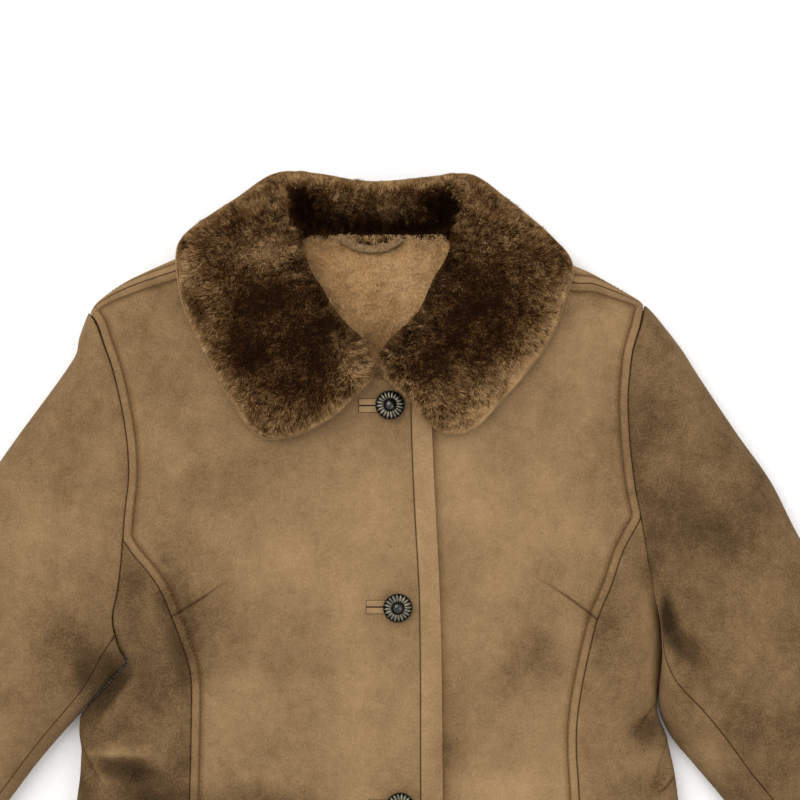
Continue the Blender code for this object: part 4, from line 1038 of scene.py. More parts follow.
def roll_depth(x, y):
    """How far the fur has fallen away behind the leaves' rolls, which is also its painted shade there, and
    how near a point is to a roll's rim, where it gets painted light.
    """
    fallen, rim = np.zeros_like(x), np.zeros_like(x)
    for line in ROLLS.records():
        _, _, signed, part = from_line(x, y, line)
        steep, start = ROLL_ENDS.values()
        along_it = np.clip(steep * part + start, 0, 1) * np.clip(steep * (1 - part) + start, 0, 1)
        behind = 1 / (1 + np.exp(-np.clip(signed / ROLL_EDGE, -30, 30)))
        fallen += line["dark"] * behind * np.exp(-(np.maximum(signed, 0) / line["reach"]) ** 2) * along_it
        rim += np.exp(-((signed + ROLL_RIM["before"]) / ROLL_RIM["reach"]) ** 2) * along_it
    return fallen, rim


def collar_flow(field):
    """The fur is combed from the neck edge to the outer edge, and a little down the leaves."""
    return unit(np.gradient(field, axis=1)) + np.array((0.0, -0.45, 0.0))


def collar_shade(field):
    """The fur's shade by place: its rims lighter, partly as the fur's own and partly as painted light, the
    table's patches with their painted shade, a little darker towards the neck edge, and small uneven changes.
    """
    rows, columns = field.shape[:2]
    x, y = field[..., 0], field[..., 1]
    t = np.linspace(0, 1, columns)[None] * np.ones((rows, 1))
    run = np.array([[np.linalg.norm(line - line[-1], axis=1)] for line in field])[:, 0]
    n = np.linspace(0, 1, rows)[:, None]
    leaf = np.clip((np.abs(n - 0.5) - 0.14) / 0.1, 0, 1)
    rim = np.exp(-(run / FUR_SHADE["rim_reach"]) ** 2) * leaf
    shade = FUR_SHADE["plain"] + FUR_SHADE["rim"] * rim + read_patches(FUR_TONE_AND_SHADE, x, y)
    shade -= FUR_SHADE["neck"] * (1 - t)
    return shade + 0.09 * wander(x, y, 16, 31) + 0.07 * wander(x, y, 5, 32)


def stitch_mesh(runs, pitch, length, thick):
    """One joined mesh of short raised stitches that follow lines of points and facings."""
    pattern = bmesh.new()
    bmesh.ops.create_uvsphere(pattern, u_segments=6, v_segments=4, radius=0.5)
    shape = np.array([vert.co for vert in pattern.verts]) * (length, thick, thick * STITCH_SHAPE["flat"])
    faces = [[vert.index for vert in face.verts] for face in pattern.faces]
    pattern.free()
    verts, polygons = [], []
    for points, facings in runs:
        gaps = np.linalg.norm(np.diff(points, axis=0), axis=1)
        run = np.concatenate([[0.0], np.cumsum(gaps)])
        for place_at in np.arange(pitch / 2, run[-1], pitch):
            i = min(int(np.searchsorted(run, place_at)) - 1, len(points) - 2)
            t = (place_at - run[i]) / max(gaps[i], 1e-6)
            ahead = (points[i + 1] - points[i]) / max(gaps[i], 1e-6)
            aside = np.cross(facings[i], ahead)
            base = len(verts) * len(shape)
            at = mix(points[i], points[i + 1], t) + facings[i] * STITCH_SHAPE["above"]
            verts.append(at + shape @ np.array((ahead, aside, facings[i])))
            polygons += [[base + index for index in face] for face in faces]
    return np.concatenate(verts), polygons


def build_stitches(name, runs, pitch, length, thick, thread, slot):
    """Sews one joined piece of stitches along its runs."""
    verts, faces = stitch_mesh(runs, pitch, length, thick)
    data = bpy.data.meshes.new(name)
    data.from_pydata((verts * MM).tolist(), [], faces)
    ride(name, data, [thread], slot, [])


def add_node(tree, kind, settings=(), links=()):
    """Adds a node, sets its properties and sockets by name or number, and links other sockets to it."""
    node = tree.nodes.new("ShaderNode" + kind)
    for key, value in dict(settings).items():
        if isinstance(key, int) or key in node.inputs:
            node.inputs[key].default_value = value
        else:
            setattr(node, key, value)
    for key, source in dict(links).items():
        tree.links.new(source, node.inputs[key])
    return node


def start_material(name, **values):
    """A new material with its shader's values set: the material, its nodes and the shader."""
    made = bpy.data.materials.new(name)
    made.use_nodes = True
    shader = made.node_tree.nodes["Principled BSDF"]
    for key, value in values.items():
        shader.inputs[key.replace("_", " ")].default_value = value
    return made, made.node_tree, shader


def ramp(tree, source, *stops, ease="EASE"):
    """A colour ramp with (place, hex colour) stops."""
    node = add_node(tree, "ValToRGB", links={0: source})
    node.color_ramp.interpolation = ease
    while len(node.color_ramp.elements) < len(stops):
        node.color_ramp.elements.new(0.5)
    for element, (position, code) in zip(node.color_ramp.elements, stops):
        element.position = position
        element.color = (*(linear(code) if isinstance(code, str) else code), 1)
    return node.outputs["Color"]


def read_value(tree, name):
    return add_node(tree, "Attribute", {"attribute_name": name}).outputs["Fac"]


def read_place(tree):
    return add_node(tree, "TexCoord").outputs["Object"]


def finish_with(tree, shader, base, height=None, strength=1.0, distance=0.0):
    """Links the colour to the shader, and the fine relief where there is one."""
    tree.links.new(base, shader.inputs["Base Color"])
    if height is not None:
        bump = add_node(tree, "Bump", {"Strength": strength, "Distance": distance}, {"Height": height})
        tree.links.new(bump.outputs["Normal"], shader.inputs["Normal"])


def calculate(tree, operation, *values):
    """One Math node, whose inputs are numbers or sockets."""
    node = add_node(tree, "Math", {"operation": operation})
    for i, value in enumerate(values):
        if isinstance(value, (int, float)):
            node.inputs[i].default_value = value
        else:
            tree.links.new(value, node.inputs[i])
    return node.outputs[0]


def noise(tree, place, size, detail=2.0, rough=0.5, stretch=None):
    """Noise whose lumps are about size millimetres across."""
    if stretch:
        settings = {"Scale": stretch[0], "Rotation": stretch[1]}
        place = add_node(tree, "Mapping", settings, {"Vector": place}).outputs[0]
    return add_node(tree, "TexNoise", {"Scale": 1000 / (size * 1.6), "Detail": detail, "Roughness": rough},
                    {"Vector": place}).outputs["Fac"]


def suede_finish(name, colours):
    """Sheepskin suede, brushed: a dull nap with lighter and darker clouds and painted light and shade in its
    tone, dark lines along its seams, and painted shade along its topstitching and in its creases.
    """
    made, tree, shader = start_material(name, Roughness=0.95, Specular_IOR_Level=0.12, Sheen_Weight=0.12,
                                        Sheen_Roughness=0.55)
    shader.inputs["Sheen Tint"].default_value = (*colours["light"], 1)
    place = read_place(tree)
    clouds = noise(tree, place, 46, 3.0, 0.5)
    stains = noise(tree, place, 16, 3.0, 0.6, ((1.0, 0.7, 1.0), (0, 0, 0.5)))
    mottle = noise(tree, place, 5.0, 3.0, 0.6)
    nap = noise(tree, place, 0.9, 2.0, 0.7)      # real nap is finer than this, and would not show
    strokes = noise(tree, place, 3.0, 2.0, 0.6, ((1.0, 0.3, 1.0), (0, 0, -0.5)))
    total = read_value(tree, "tone")
    for source, share in ((clouds, 0.5), (stains, 0.42), (mottle, 0.3), (nap, 0.65)):
        total = calculate(tree, "MULTIPLY_ADD", source, share, total)
    total = calculate(tree, "ADD", total, -0.435)
    total = calculate(tree, "MULTIPLY_ADD", total, 0.7, 0.25)
    base = ramp(tree, total, (0.0, colours["deepest"]), (0.25, colours["deep"]), (0.45, colours["dark"]),
                (0.635, colours["plain"]), (0.845, colours["light"]), ease="LINEAR")
    seam, stitch = (calculate(tree, "DIVIDE", read_value(tree, key), LINE_REACH)
                    for key in ("seam", "stitch"))
    crease = calculate(tree, "DIVIDE", calculate(tree, "ABSOLUTE", read_value(tree, "crease")), LINE_REACH)
    # The seams get dark joint lines. Along the topstitching and in the creases the darkening is painted shade
    # of their grooves and folds, and at the darts it is their dark sewn line.
    seam_dark = ramp(tree, seam, (0.0, "#94897c"), (0.03, "#cfc7bd"), (0.07, "#ffffff"), ease="LINEAR")
    topstitch_groove_shade = ramp(tree, stitch, (0.12, "#ffffff"), (0.42, "#fbf8f4"), (0.54, "#c6bcb0"),
                       (0.58, "#b5aa9c"), (0.66, "#d8d0c6"), (0.95, "#ffffff"), ease="LINEAR")
    dart_line_and_crease_shade = ramp(tree, crease, (0.0, "#857b71"), (0.06, "#cfc9c1"), (0.16, "#ffffff"), ease="LINEAR")
    sharp = read_value(tree, "sharp")
    for source, share in ((seam_dark, {}), (topstitch_groove_shade, {}), (dart_line_and_crease_shade, {0: sharp})):
        settings = {"data_type": "RGBA", "blend_type": "MULTIPLY", 0: 1.0}
        base = add_node(tree, "Mix", settings, {6: base, 7: source, **share}).outputs[2]
    height = calculate(tree, "MULTIPLY_ADD", nap, 0.16, calculate(tree, "MULTIPLY", strokes, 0.2))
    height = calculate(tree, "MULTIPLY_ADD", mottle, 0.35, height)
    groove = ramp(tree, stitch, (0.0, "#000000"), (0.06, "#8c8c8c"), (0.25, "#d8d8d8"), (0.5, "#b8b8b8"),
                  (0.567, "#505050"), (0.63, "#b8b8b8"), (1.0, "#c4c4c4"))
    height = calculate(tree, "MULTIPLY_ADD", groove, 0.9, height)
    dip = calculate(tree, "MULTIPLY", calculate(tree, "SUBTRACT", 1.0, dart_line_and_crease_shade), sharp)
    height = calculate(tree, "MULTIPLY_ADD", dip, -1.2, height)
    finish_with(tree, shader, base, height, 1.0, 0.0007)
    return made


def wool_finish(name, colours):
    """Clipped sheep's wool: a dense matt pile in small soft curls."""
    made, tree, shader = start_material(name, Roughness=1.0, Specular_IOR_Level=0.1, Sheen_Weight=0.2)
    place = read_place(tree)
    curls = noise(tree, place, 3.4, 3.0, 0.7)
    clouds = noise(tree, place, 26, 2.0)
    total = calculate(tree, "MULTIPLY_ADD", curls, 0.7, calculate(tree, "MULTIPLY", clouds, 0.5))
    base = ramp(tree, total, (0.3, colours["dark"]), (0.62, colours["plain"]), (0.85, colours["light"]))
    finish_with(tree, shader, base, curls, 0.9, 0.0016)
    return made


def cut_edge_finish(name, colours):
    """The cut edge of shearling: a thin tan line of skin, then the wool."""
    made, tree, shader = start_material(name, Roughness=1.0, Specular_IOR_Level=0.1)
    place = read_place(tree)
    curls = noise(tree, place, 2.6, 3.0, 0.7)
    wool = ramp(tree, curls, (0.3, colours["dark"]), (0.6, colours["plain"]), (0.8, colours["light"]))
    skin = ramp(tree, curls, (0.3, colours["skin_dark"]), (0.7, colours["skin"]))
    layer = ramp(tree, read_value(tree, "depth"), (0.2, "#000000"), (0.26, "#ffffff"), ease="LINEAR")
    blend = add_node(tree, "Mix", {"data_type": "RGBA"}, {0: layer, 6: skin, 7: wool})
    finish_with(tree, shader, blend.outputs[2], curls, 0.8, 0.001)
    return made


def fibre_finish(name, stops, sheen):
    """Fibres of fur or wool: darker at the root, and each one lighter or darker than its neighbours."""
    made, tree, shader = start_material(name, Roughness=0.75, Specular_IOR_Level=0.06, Sheen_Weight=sheen,
                                        Sheen_Roughness=0.4)
    shader.inputs["Sheen Tint"].default_value = (*stops[-1][1], 1)
    shade, tip = read_value(tree, "shade"), read_value(tree, "tip")
    total = calculate(tree, "MULTIPLY_ADD", tip, 0.3, calculate(tree, "SUBTRACT", shade, 0.2))
    finish_with(tree, shader, ramp(tree, total, *stops, ease="LINEAR"))
    return made


def pewter_finish(name, colours):
    """Cast pewter, darkened in its hollows and rubbed bright on its ridges."""
    made, tree, shader = start_material(name, Metallic=1.0, Roughness=0.45)
    place = read_place(tree)
    grain = noise(tree, place, 0.8, 3.0, 0.6)
    raised = read_value(tree, "raised")
    total = calculate(tree, "MULTIPLY_ADD", grain, 0.35, raised)
    base = ramp(tree, total, (0.2, colours["hollow"]), (0.75, colours["plain"]), (1.0, colours["ridge"]))
    worn = calculate(tree, "MULTIPLY_ADD", grain, 0.25, 0.24)
    tree.links.new(worn, shader.inputs["Roughness"])
    finish_with(tree, shader, base, grain, 0.35, 0.0002)
    return made


def enamel_finish(name, code):
    """Black glass enamel in the button's middle: dark and very smooth."""
    made, tree, shader = start_material(name, Roughness=0.1, Specular_IOR_Level=0.7)
    place = read_place(tree)
    haze = noise(tree, place, 2.0)
    finish_with(tree, shader, ramp(tree, haze, (0.3, code), (0.9, "#1c1a18")))
    return made


def thread_finish(name, code):
    """Waxed polyester thread, dyed to match the suede and a little shiny."""
    made, tree, shader = start_material(name, Roughness=0.8, Specular_IOR_Level=0.12)
    place = read_place(tree)
    twist = noise(tree, place, 0.5, 1.0, 0.5, ((1, 3, 1), (0, 0, 0.8)))
    finish_with(tree, shader, ramp(tree, twist, (0.2, "#453521"), (0.8, code)))
    return made


def tape_finish(name, colours):
    """A narrow strip of suede for hanging the coat up, dull with a fine nap."""
    made, tree, shader = start_material(name, Roughness=0.9, Specular_IOR_Level=0.15, Sheen_Weight=0.1)
    place = read_place(tree)
    nap = noise(tree, place, 1.2, 3.0, 0.7)
    base = ramp(tree, nap, (0.25, colours["dark"]), (0.75, colours["plain"]))
    finish_with(tree, shader, base, nap, 0.6, 0.0005)
    return made


def stage_finish(name, code):
    """Matt white paper sweep: even, with a faint tooth."""
    made, tree, shader = start_material(name, Roughness=1.0, Specular_IOR_Level=0.0)
    place = read_place(tree)
    tooth = noise(tree, place, 1.5)
    finish_with(tree, shader, ramp(tree, tooth, (0.2, code), (0.8, "#ffffff")))
    return made


def surface_frame(x, y, turn=0.0, tilt=0.0):
    """A place on the right front, with its Z axis along the way the suede faces."""
    point = Vector(upper_point(x, y, 1.0))
    facing = (Vector(upper_point(x + 1, y, 1.0)) - point).cross(Vector(upper_point(x, y + 1, 1.0)) - point)
    return (Matrix.Translation(point) @ Vector((0, 0, 1)).rotation_difference(facing).to_matrix().to_4x4()
            @ Matrix.Rotation(math.radians(turn), 4, "Z") @ Matrix.Rotation(math.radians(tilt), 4, "X"))


def set_values(mesh, verts, **values):
    """Writes the numbers that a finish reads onto some points of a mesh."""
    for name, value in values.items():
        layer = mesh.verts.layers.float.get(name) or mesh.verts.layers.float.new(name)
        for vert in verts:
            vert[layer] = value


def build_button(number, finishes):
    """A cast daisy: a dished disc with a beaded rim, a ring of ridged petals and a black centre."""
    x, y, turn = (BUTTONS.read(column, number) for column in ("x", "y", "turn"))
    radius, thick, petals = BUTTON["radius"], BUTTON["thickness"], BUTTON["petals"]
    lift = SEAM_GAP + radius * math.sin(math.radians(BUTTON["tilt"])) + BUTTON["clearance"]
    mesh = bmesh.new()
    line = [mesh.verts.new((share * radius, 0, lift + height * thick)) for share, height in BUTTON_PROFILE]
    edges = [mesh.edges.new(pair) for pair in zip(line, line[1:])]
    bmesh.ops.spin(mesh, geom=line + edges, angle=2 * math.pi, steps=3 * petals, use_merge=True,
                   axis=(0, 0, 1), cent=(0, 0, 0))
    set_values(mesh, mesh.verts, raised=0.0)
    for out, height, long, wide, deep, raised in PETALS.rows:
        for i in range(petals):
            made = bmesh.ops.create_uvsphere(mesh, u_segments=10, v_segments=7, radius=1)["verts"]
            size = Matrix.Diagonal((long * radius, wide * radius, deep * thick, 1))
            there = Matrix.Translation((out * radius, 0, lift + height * thick))
            dip = Matrix.Rotation(math.radians(PETAL_DIP), 4, "Y")
            around = Matrix.Rotation(2 * math.pi * i / petals, 4, "Z")
            bmesh.ops.transform(mesh, matrix=around @ there @ dip @ size, verts=made)
            set_values(mesh, made, raised=raised * (0.8 + 0.2 * ((i * 7) % 5) / 4))
    for wide, high, height, segments, rings in ((0.43, 0.12, 0.62, 40, 12), (0.36, 0.42, 0.6, 32, 16)):
        dome = bmesh.ops.create_uvsphere(mesh, u_segments=segments, v_segments=rings, radius=1)["verts"]
        bmesh.ops.scale(mesh, vec=(wide * radius, wide * radius, high * thick), verts=dome)
        bmesh.ops.translate(mesh, vec=(0, 0, lift + height * thick), verts=dome)
        set_values(mesh, dome, raised=0.02)
    for face in {face for vert in dome for face in vert.link_faces}:
        face.material_index = 1
    bmesh.ops.transform(mesh, matrix=surface_frame(x, y, turn, BUTTON["tilt"]), verts=mesh.verts)
    bmesh.ops.recalc_face_normals(mesh, faces=mesh.faces)
    return make_piece(f"daisy_button_{number}", mesh, finishes, "pewter", [f"button_{number}"])


def welt_middle(x):
    """The middle of a buttonhole, which ends a little past its button's middle."""
    return x - WELT["length"] / 2 + WELT["past_button"]


def build_lip(number, name, shift, finish):
    """One lip of a bound buttonhole: a soft strip of suede, rolled along its slit."""
    x, y = BUTTONS.read("x", number), BUTTONS.read("y", number)
    mesh = bmesh.new()
    bmesh.ops.create_cube(mesh, size=1)
    bmesh.ops.scale(mesh, vec=(WELT["length"], WELT["width"], WELT["thickness"] + 0.3), verts=mesh.verts)
    bmesh.ops.bevel(mesh, geom=mesh.edges[:], offset=0.5, segments=3, profile=0.5, affect="EDGES",
                    material=-1)
    bmesh.ops.translate(mesh, vec=(0, 0, SEAM_GAP + WELT["thickness"] / 2), verts=mesh.verts)
    bmesh.ops.transform(mesh, matrix=surface_frame(welt_middle(x), y + shift), verts=mesh.verts)
    away = dict.fromkeys(("seam", "stitch", "crease"), FAR_FROM_SEAM)
    set_values(mesh, mesh.verts, tone=0.22, sharp=0.0, **away)
    return make_piece(f"buttonhole_{name}_{number}", mesh, [finish], "suede", [f"welt_{name}_{number}"])


def build_slits(finish):
    """A dark plate beneath each bound buttonhole, painted shade that shows as the line round it and between
    its lips.
    """
    mesh = bmesh.new()
    for _, x, y, _ in BUTTONS.rows:
        made = bmesh.ops.create_cube(mesh, size=1)["verts"]
        long, wide = WELT["length"] + SLIT["wider"], 2 * WELT["width"] + WELT["apart"] + SLIT["wider"]
        bmesh.ops.scale(mesh, vec=(long, wide, SLIT["deep"]), verts=made)
        bmesh.ops.transform(mesh, matrix=surface_frame(welt_middle(x), y), verts=made)
    return make_piece("buttonhole_slits", mesh, [finish], "suede", [])


def build_hanger(finish, thread):
    """The hanger loop: a narrow strip that lies in a shallow curve on the wool, stitched along one edge."""
    points = np.array([(*along(LOOP_PATH, i / 48), WALL + SEAM_GAP) for i in range(49)])
    for _ in range(3):
        points[1:-1] = (points[:-2] + 2 * points[1:-1] + points[2:]) / 4
    run = unit(np.gradient(points, axis=0))
    aside = np.stack([-run[:, 1], run[:, 0], np.zeros(len(run))], axis=1) * LOOP["width"] / 2
    outside = np.stack([points + aside * share for share in (1, 0.9, 0.6, 0, -0.6, -0.9, -1)], axis=1)
    outside[..., 1] = np.minimum(outside[..., 1], BACK_NECK_Y)
    within = outside.copy()
    crown = np.array((0.55, 0.95, 1.05, 1.0, 1.05, 0.95, 0.55))
    outside[..., 2] += crown * LOOP["thickness"] + LOOP["lies"]
    within[..., 2] += LOOP["lies"] - 1.0
    piece = build_shell("hanger_strip", outside, within, {}, [finish] * 3, "loop_tape", ["hanger_loop"])
    line = points - aside * 0.62 + np.array((0, 0, LOOP["thickness"] + LOOP["lies"] + 0.2))
    runs = [(line, np.tile((0.0, 0.0, 1.0), (len(line), 1)))]
    build_stitches("hanger_stitches", runs, *LOOP_STITCH.values(), thread, "loop_tape")


def edge_fleece(name, panels, edge, finish, seed):
    """The wool that shows in the cut edge of a hem or cuff."""
    row, near = {"foot": (-1, -2), "head": (0, 1)}[edge]
    mesh = bmesh.new()
    for i, panel in enumerate(panels):
        outer, inner = panel.points[row], panel.within()[row]
        away = unit(outer - panel.points[near])
        strip = np.stack([mix(outer, inner, share) for share in (0.3, 0.65, 1.0)], axis=1)
        facing = np.repeat(away[:, None], 3, axis=1)
        flow = np.repeat((inner - outer)[:, None], 3, axis=1) + facing
        shade = 0.6 + 0.1 * wander(strip[..., 0], strip[..., 1], 14, seed + i)
        mesh.from_mesh(grow(f"{name}_{i}", strip, facing, flow, shade, seed + i, **EDGE_WOOL))
    joined = bpy.data.meshes.new(name)
    mesh.to_mesh(joined)
    mesh.free()
    return ride(name, joined, [finish], "suede", [])


def finish(name, make, *values):
    """A finish made once and then shared."""
    if name not in FINISHES:
        FINISHES[name] = make(name, *values)
    return FINISHES[name]


def shades(colours, kind, *names):
    """Some of the coat's colours as plain values, by the last part of their names."""
    return {name: getattr(colours, f"{kind}_{name}")[:] for name in names}


def suede_set(colours):
    """The finishes of a panel's three kinds of face: its suede, its wool and its cut edges."""
    suede = shades(colours, "suede", "deepest", "deep", "dark", "plain", "light")
    wool = shades(colours, "wool", "dark", "plain", "light")
    edge = dict(wool, skin=suede["light"], skin_dark=suede["plain"])
    return [finish("brushed_sheepskin_suede", suede_finish, suede), finish("clipped_wool", wool_finish, wool),
            finish("cut_shearling_edge", cut_edge_finish, edge)]


def length(name, description, default, least, most):
    return FloatProperty(name=name, description=description, unit="LENGTH", default=default, min=least,
                         max=most)


def colour(name, description, code):
    return FloatVectorProperty(name=name, description=description, subtype="COLOR", size=3, min=0.0, max=1.0,
                               default=linear(code))


class CoatSizes(bpy.types.PropertyGroup):
    fur_length: length("Fur length", "Length of the collar's fur fibres", 0.0048, 0.002, 0.02)
    fur_width: length("Fibre width", "Width of one drawn fibre of fur", 0.00053, 0.0001, 0.002)
    fur_density: FloatProperty(name="Fur density", description="Fibres of fur on a square millimetre",
                               default=2.65, min=0.1, max=6.0)
    wool_length: length("Wool length", "Length of the clipped wool inside the neck", 0.0042, 0.001, 0.01)
    stitch_pitch: length("Stitch pitch", "From one topstitch to the next", 0.0036, 0.001, 0.01)
    light_size: length("Light size", "Side of the soft overhead light", 2.2, 0.2, 6.0)


class CoatColours(bpy.types.PropertyGroup):
    # The darker suede colours carry the hide's stains and painted shade in folds, under the arms and beside
    # the collar, and the rubbed one also painted light on the folds' ridges.
    suede_deepest: colour("Suede, deepest", "The bottoms of the deepest folds", "#2c2011")
    suede_deep: colour("Suede, deep", "Stains and the bottoms of folds", "#523e27")
    suede_dark: colour("Suede, dark", "The darker clouds", "#775e40")
    suede_plain: colour("Suede", "Most of the suede", "#8e7250")
    suede_light: colour("Suede, rubbed", "Where the nap is rubbed light", "#a2855f")
    # The darkest fur colour also carries painted shade in the collar's hollows, and the light one painted
    # light on its rims.
    fur_darkest: colour("Fur, darkest", "Roots and flattened middles of the fur", "#2b1709")
    fur_dark: colour("Fur, dark", "The fur's dark brown", "#513316")
    fur_mid: colour("Fur, brown", "The fur's middle brown", "#84653f")
    fur_light: colour("Fur, light", "The fur's light rims", "#c8a374")
    wool_dark: colour("Wool, dark", "The wool's hollows", "#8e6b45")
    wool_plain: colour("Wool", "The clipped wool", "#c09865")
    wool_light: colour("Wool, light", "The wool's tips", "#dcb785")
    pewter_hollow: colour("Pewter, hollow", "The darkened hollows of the buttons", "#16130f")
    pewter_plain: colour("Pewter", "The buttons' metal", "#5d594e")
    pewter_ridge: colour("Pewter, rubbed", "The buttons' bright ridges", "#7b7668")
    thread: colour("Thread", "The topstitching", "#6f583a")


class COAT_OT_fronts(bpy.types.Operator):
    """Cuts the two fronts and the strip along the right front's edge"""
    bl_idname = "coat.fronts"
    bl_label = "Fronts"

    def execute(self, context):
        suede = suede_set(context.scene.coat_colours)
        right = front_points("right", NECKLINE, lambda y: BAND.read("seam", y), 1.0)
        left = front_points("left", NECKLINE_LEFT, lambda y: UNDER_LAP_X, 0.0)
        dress_panel(Panel("front_panel_right", right, 1, ("start", "head", "end"), ("start", "head"), -0.1),
                    suede, (0.235, 0.955), 0.18, "front_right")
        dress_panel(Panel("front_panel_left", left, 1, ("start", "head"), ("start", "head"), -0.04),
                    suede, (0.235, 0.95), 0.18, "front_left")
        dress_panel(Panel("front_edge_strip", band_points(), 1, ("start",), (), 0.08),
                    suede, (0.0185, 0.835), 0.0143, "front_band_right")
        return {"FINISHED"}


class COAT_OT_sides(bpy.types.Operator):
    """Cuts the side fronts, between the princess seams and the side folds"""
    bl_idname = "coat.sides"
    bl_label = "Side fronts"

    def execute(self, context):
        suede = suede_set(context.scene.coat_colours)
        # The side fronts are darker than the fronts, partly as the hide's own colour and partly as painted
        # shade where they turn down to the folds.
        for side, area, tone in (("right", 0.0685, -0.34), ("left", 0.0635, -0.18)):
            panel = Panel(f"side_panel_{side}", side_points(side), 1, ("start", "end"), (), tone)
            dress_panel(panel, suede, (0.15, 0.735), area, f"side_front_{side}")
        return {"FINISHED"}


class COAT_OT_back(bpy.types.Operator):
    """Cuts the back in one piece, up from the hem and over the shoulders"""
    bl_idname = "coat.back"
    bl_label = "Back"

    def execute(self, context):
        suede = suede_set(context.scene.coat_colours)
        panel = Panel("back_panel", back_points(), -1, ("start", "end", "foot"), ("foot",), 0.0)
        panel.points[..., 2] = np.maximum(panel.points[..., 2], 0.0)
        dress_panel(panel, suede, (0.61, 0.97), 0.46, "back")
        return {"FINISHED"}


class COAT_OT_sleeves(bpy.types.Operator):
    """Cuts the upper and under pieces of both sleeves"""
    bl_idname = "coat.sleeves"
    bl_label = "Sleeves"

    def execute(self, context):
        suede = suede_set(context.scene.coat_colours)
        # The sleeves are darker than the fronts, partly as the hide's own colour and partly as painted shade.
        for side, tone in (("right", -0.2), ("left", -0.32)):
            for part, flat, area in (("top", (0.195, 0.63), 0.102), ("under", (0.13, 0.62), 0.061)):
                points, middles = sleeve_points(side, part == "top")
                panel = Panel(f"{part}_sleeve_panel_{side}", points, 1, ("head", "start", "end"), (), tone,
                              middles=middles)
                panel.points[..., 2] = np.maximum(panel.points[..., 2], 0.0)
                dress_panel(panel, suede, flat, area, f"{part}_sleeve_{side}")
        return {"FINISHED"}


class COAT_OT_topstitching(bpy.types.Operator):
    """Sews the rows of stitches beside the seams"""
    bl_idname = "coat.topstitching"
    bl_label = "Topstitching"

    def execute(self, context):
        if not PANELS:
            raise RuntimeError("the panels are cut before they are stitched")
        scene = context.scene
        thread = finish("waxed_thread", thread_finish, scene.coat_colours.thread[:])
        runs = [run for panel in PANELS.values() for run in panel.stitch_lines()]
        pitch = scene.coat_sizes.stitch_pitch / MM
        build_stitches("topstitching", runs, pitch, STITCH["share"] * pitch, STITCH["thick"], thread, "suede")
        return {"FINISHED"}


class COAT_OT_cut_edges(bpy.types.Operator):
    """Grows the wool that shows in the cut edges of the hem and the cuffs"""
    bl_idname = "coat.cut_edges"
    bl_label = "Cut edges"

    def execute(self, context):
        wool = finish("wool_fibres", fibre_finish, wool_stops(context.scene.coat_colours), 0.15)
        body = [PANELS[name] for name in PANELS if name.startswith(("front", "side"))]
        edge_fleece("hem_wool_front", body, "foot", wool, 41)
        edge_fleece("hem_wool_back", [PANELS["back_panel"]], "head", wool, 61)
        for side in SIDES:
            cuffs = [PANELS[f"{part}_sleeve_panel_{side}"] for part in ("top", "under")]
            edge_fleece(f"cuff_wool_{side}", cuffs, "foot", wool, 71)
        return {"FINISHED"}


def wool_stops(colours):
    return ((0.1, colours.wool_dark[:]), (0.5, colours.wool_plain[:]), (0.95, colours.wool_light[:]))


def fur_stops(colours):
    return ((0.05, colours.fur_darkest[:]), (0.3, colours.fur_dark[:]), (0.6, colours.fur_mid[:]),
            (0.98, colours.fur_light[:]))


class COAT_OT_collar(bpy.types.Operator):
    """Makes the collar: its skin, a core, and the sheared fur in three pieces"""
    bl_idname = "coat.collar"
    bl_label = "Collar"

    def execute(self, context):
        colours, sizes = context.scene.coat_colours, context.scene.coat_sizes
        field, under = collar_field(), collar_field(top=False)
        fur = finish("sheared_fur", fibre_finish, fur_stops(colours), 0.04)
        flow, shade = collar_flow(field), collar_shade(field)
        core = field - facing_of(field, 1) * FUR_SINK
        core[..., 2] = np.maximum(core[..., 2], under[..., 2] + 0.3)
        facing = facing_of(core, 1)
        values = {"shade": shade - 0.12, "tip": np.zeros_like(shade)}
        build_shell("collar_core", core, under + np.array((0, 0, 0.2)), values, [fur] * 3, "fur", ["collar"])
        third = len(core) // 3
        for name, part in (("right", slice(0, third + 1)), ("back", slice(third, 2 * third + 1)),
                           ("left", slice(2 * third, None))):
            data = grow(f"collar_fur_{name}", core[part], facing[part], flow[part], shade[part],
                        101 + len(name), sizes.fur_density, sizes.fur_length * 1000, sizes.fur_width * 1000,
                        **COLLAR_FUR)
            ride(f"collar_fur_{name}", data, [fur], "fur", [])
        skin = under - np.array((0, 0, FUR_GAP))
        skin[:, -1] += unit(skin[:, -1] - skin[:, -2]) * LEATHER_SHOWS
        values = dict.fromkeys(("seam", "stitch", "crease"), np.full(skin.shape[:2], FAR_FROM_SEAM))
        values["tone"] = np.full(skin.shape[:2], 0.12)
        piece = build_shell("collar_skin", skin, skin - np.array((0, 0, LEATHER)), values,
                            [suede_set(colours)[0]] * 3, "collar_skin", ["under_collar"])
        return {"FINISHED"}


class COAT_OT_neck_wool(bpy.types.Operator):
    """Grows the clipped wool that shows inside the neck, on the back's inner side"""
    bl_idname = "coat.neck_wool"
    bl_label = "Neck wool"

    def execute(self, context):
        colours, sizes = context.scene.coat_colours, context.scene.coat_sizes
        wool = finish("wool_fibres", fibre_finish, wool_stops(colours), 0.15)
        wide, start = NECK_WOOL_PLACE.values()
        x, y = np.meshgrid(np.linspace(-wide, wide, 67), np.linspace(start, BACK_NECK_Y, 59))
        field = np.stack([x, y, np.full_like(x, WALL - 0.4) + 0.5 * wander(x, y, 16, 8)], axis=2)
        facing = np.zeros_like(field) + np.array((0, 0, 1.0))
        flow = np.zeros_like(field) + np.array((0.5, -1.0, 0))
        shade = 0.57 + read_patches(WOOL_SHADES, x, y) + 0.07 * wander(x + 0.8 * y, y * 0.3, 9, 9)
        data = grow("neck_wool", field, facing, flow, shade, 81, length=sizes.wool_length * 1000, **NECK_WOOL)
        ride("neck_wool", data, [wool], "suede", [])
        return {"FINISHED"}


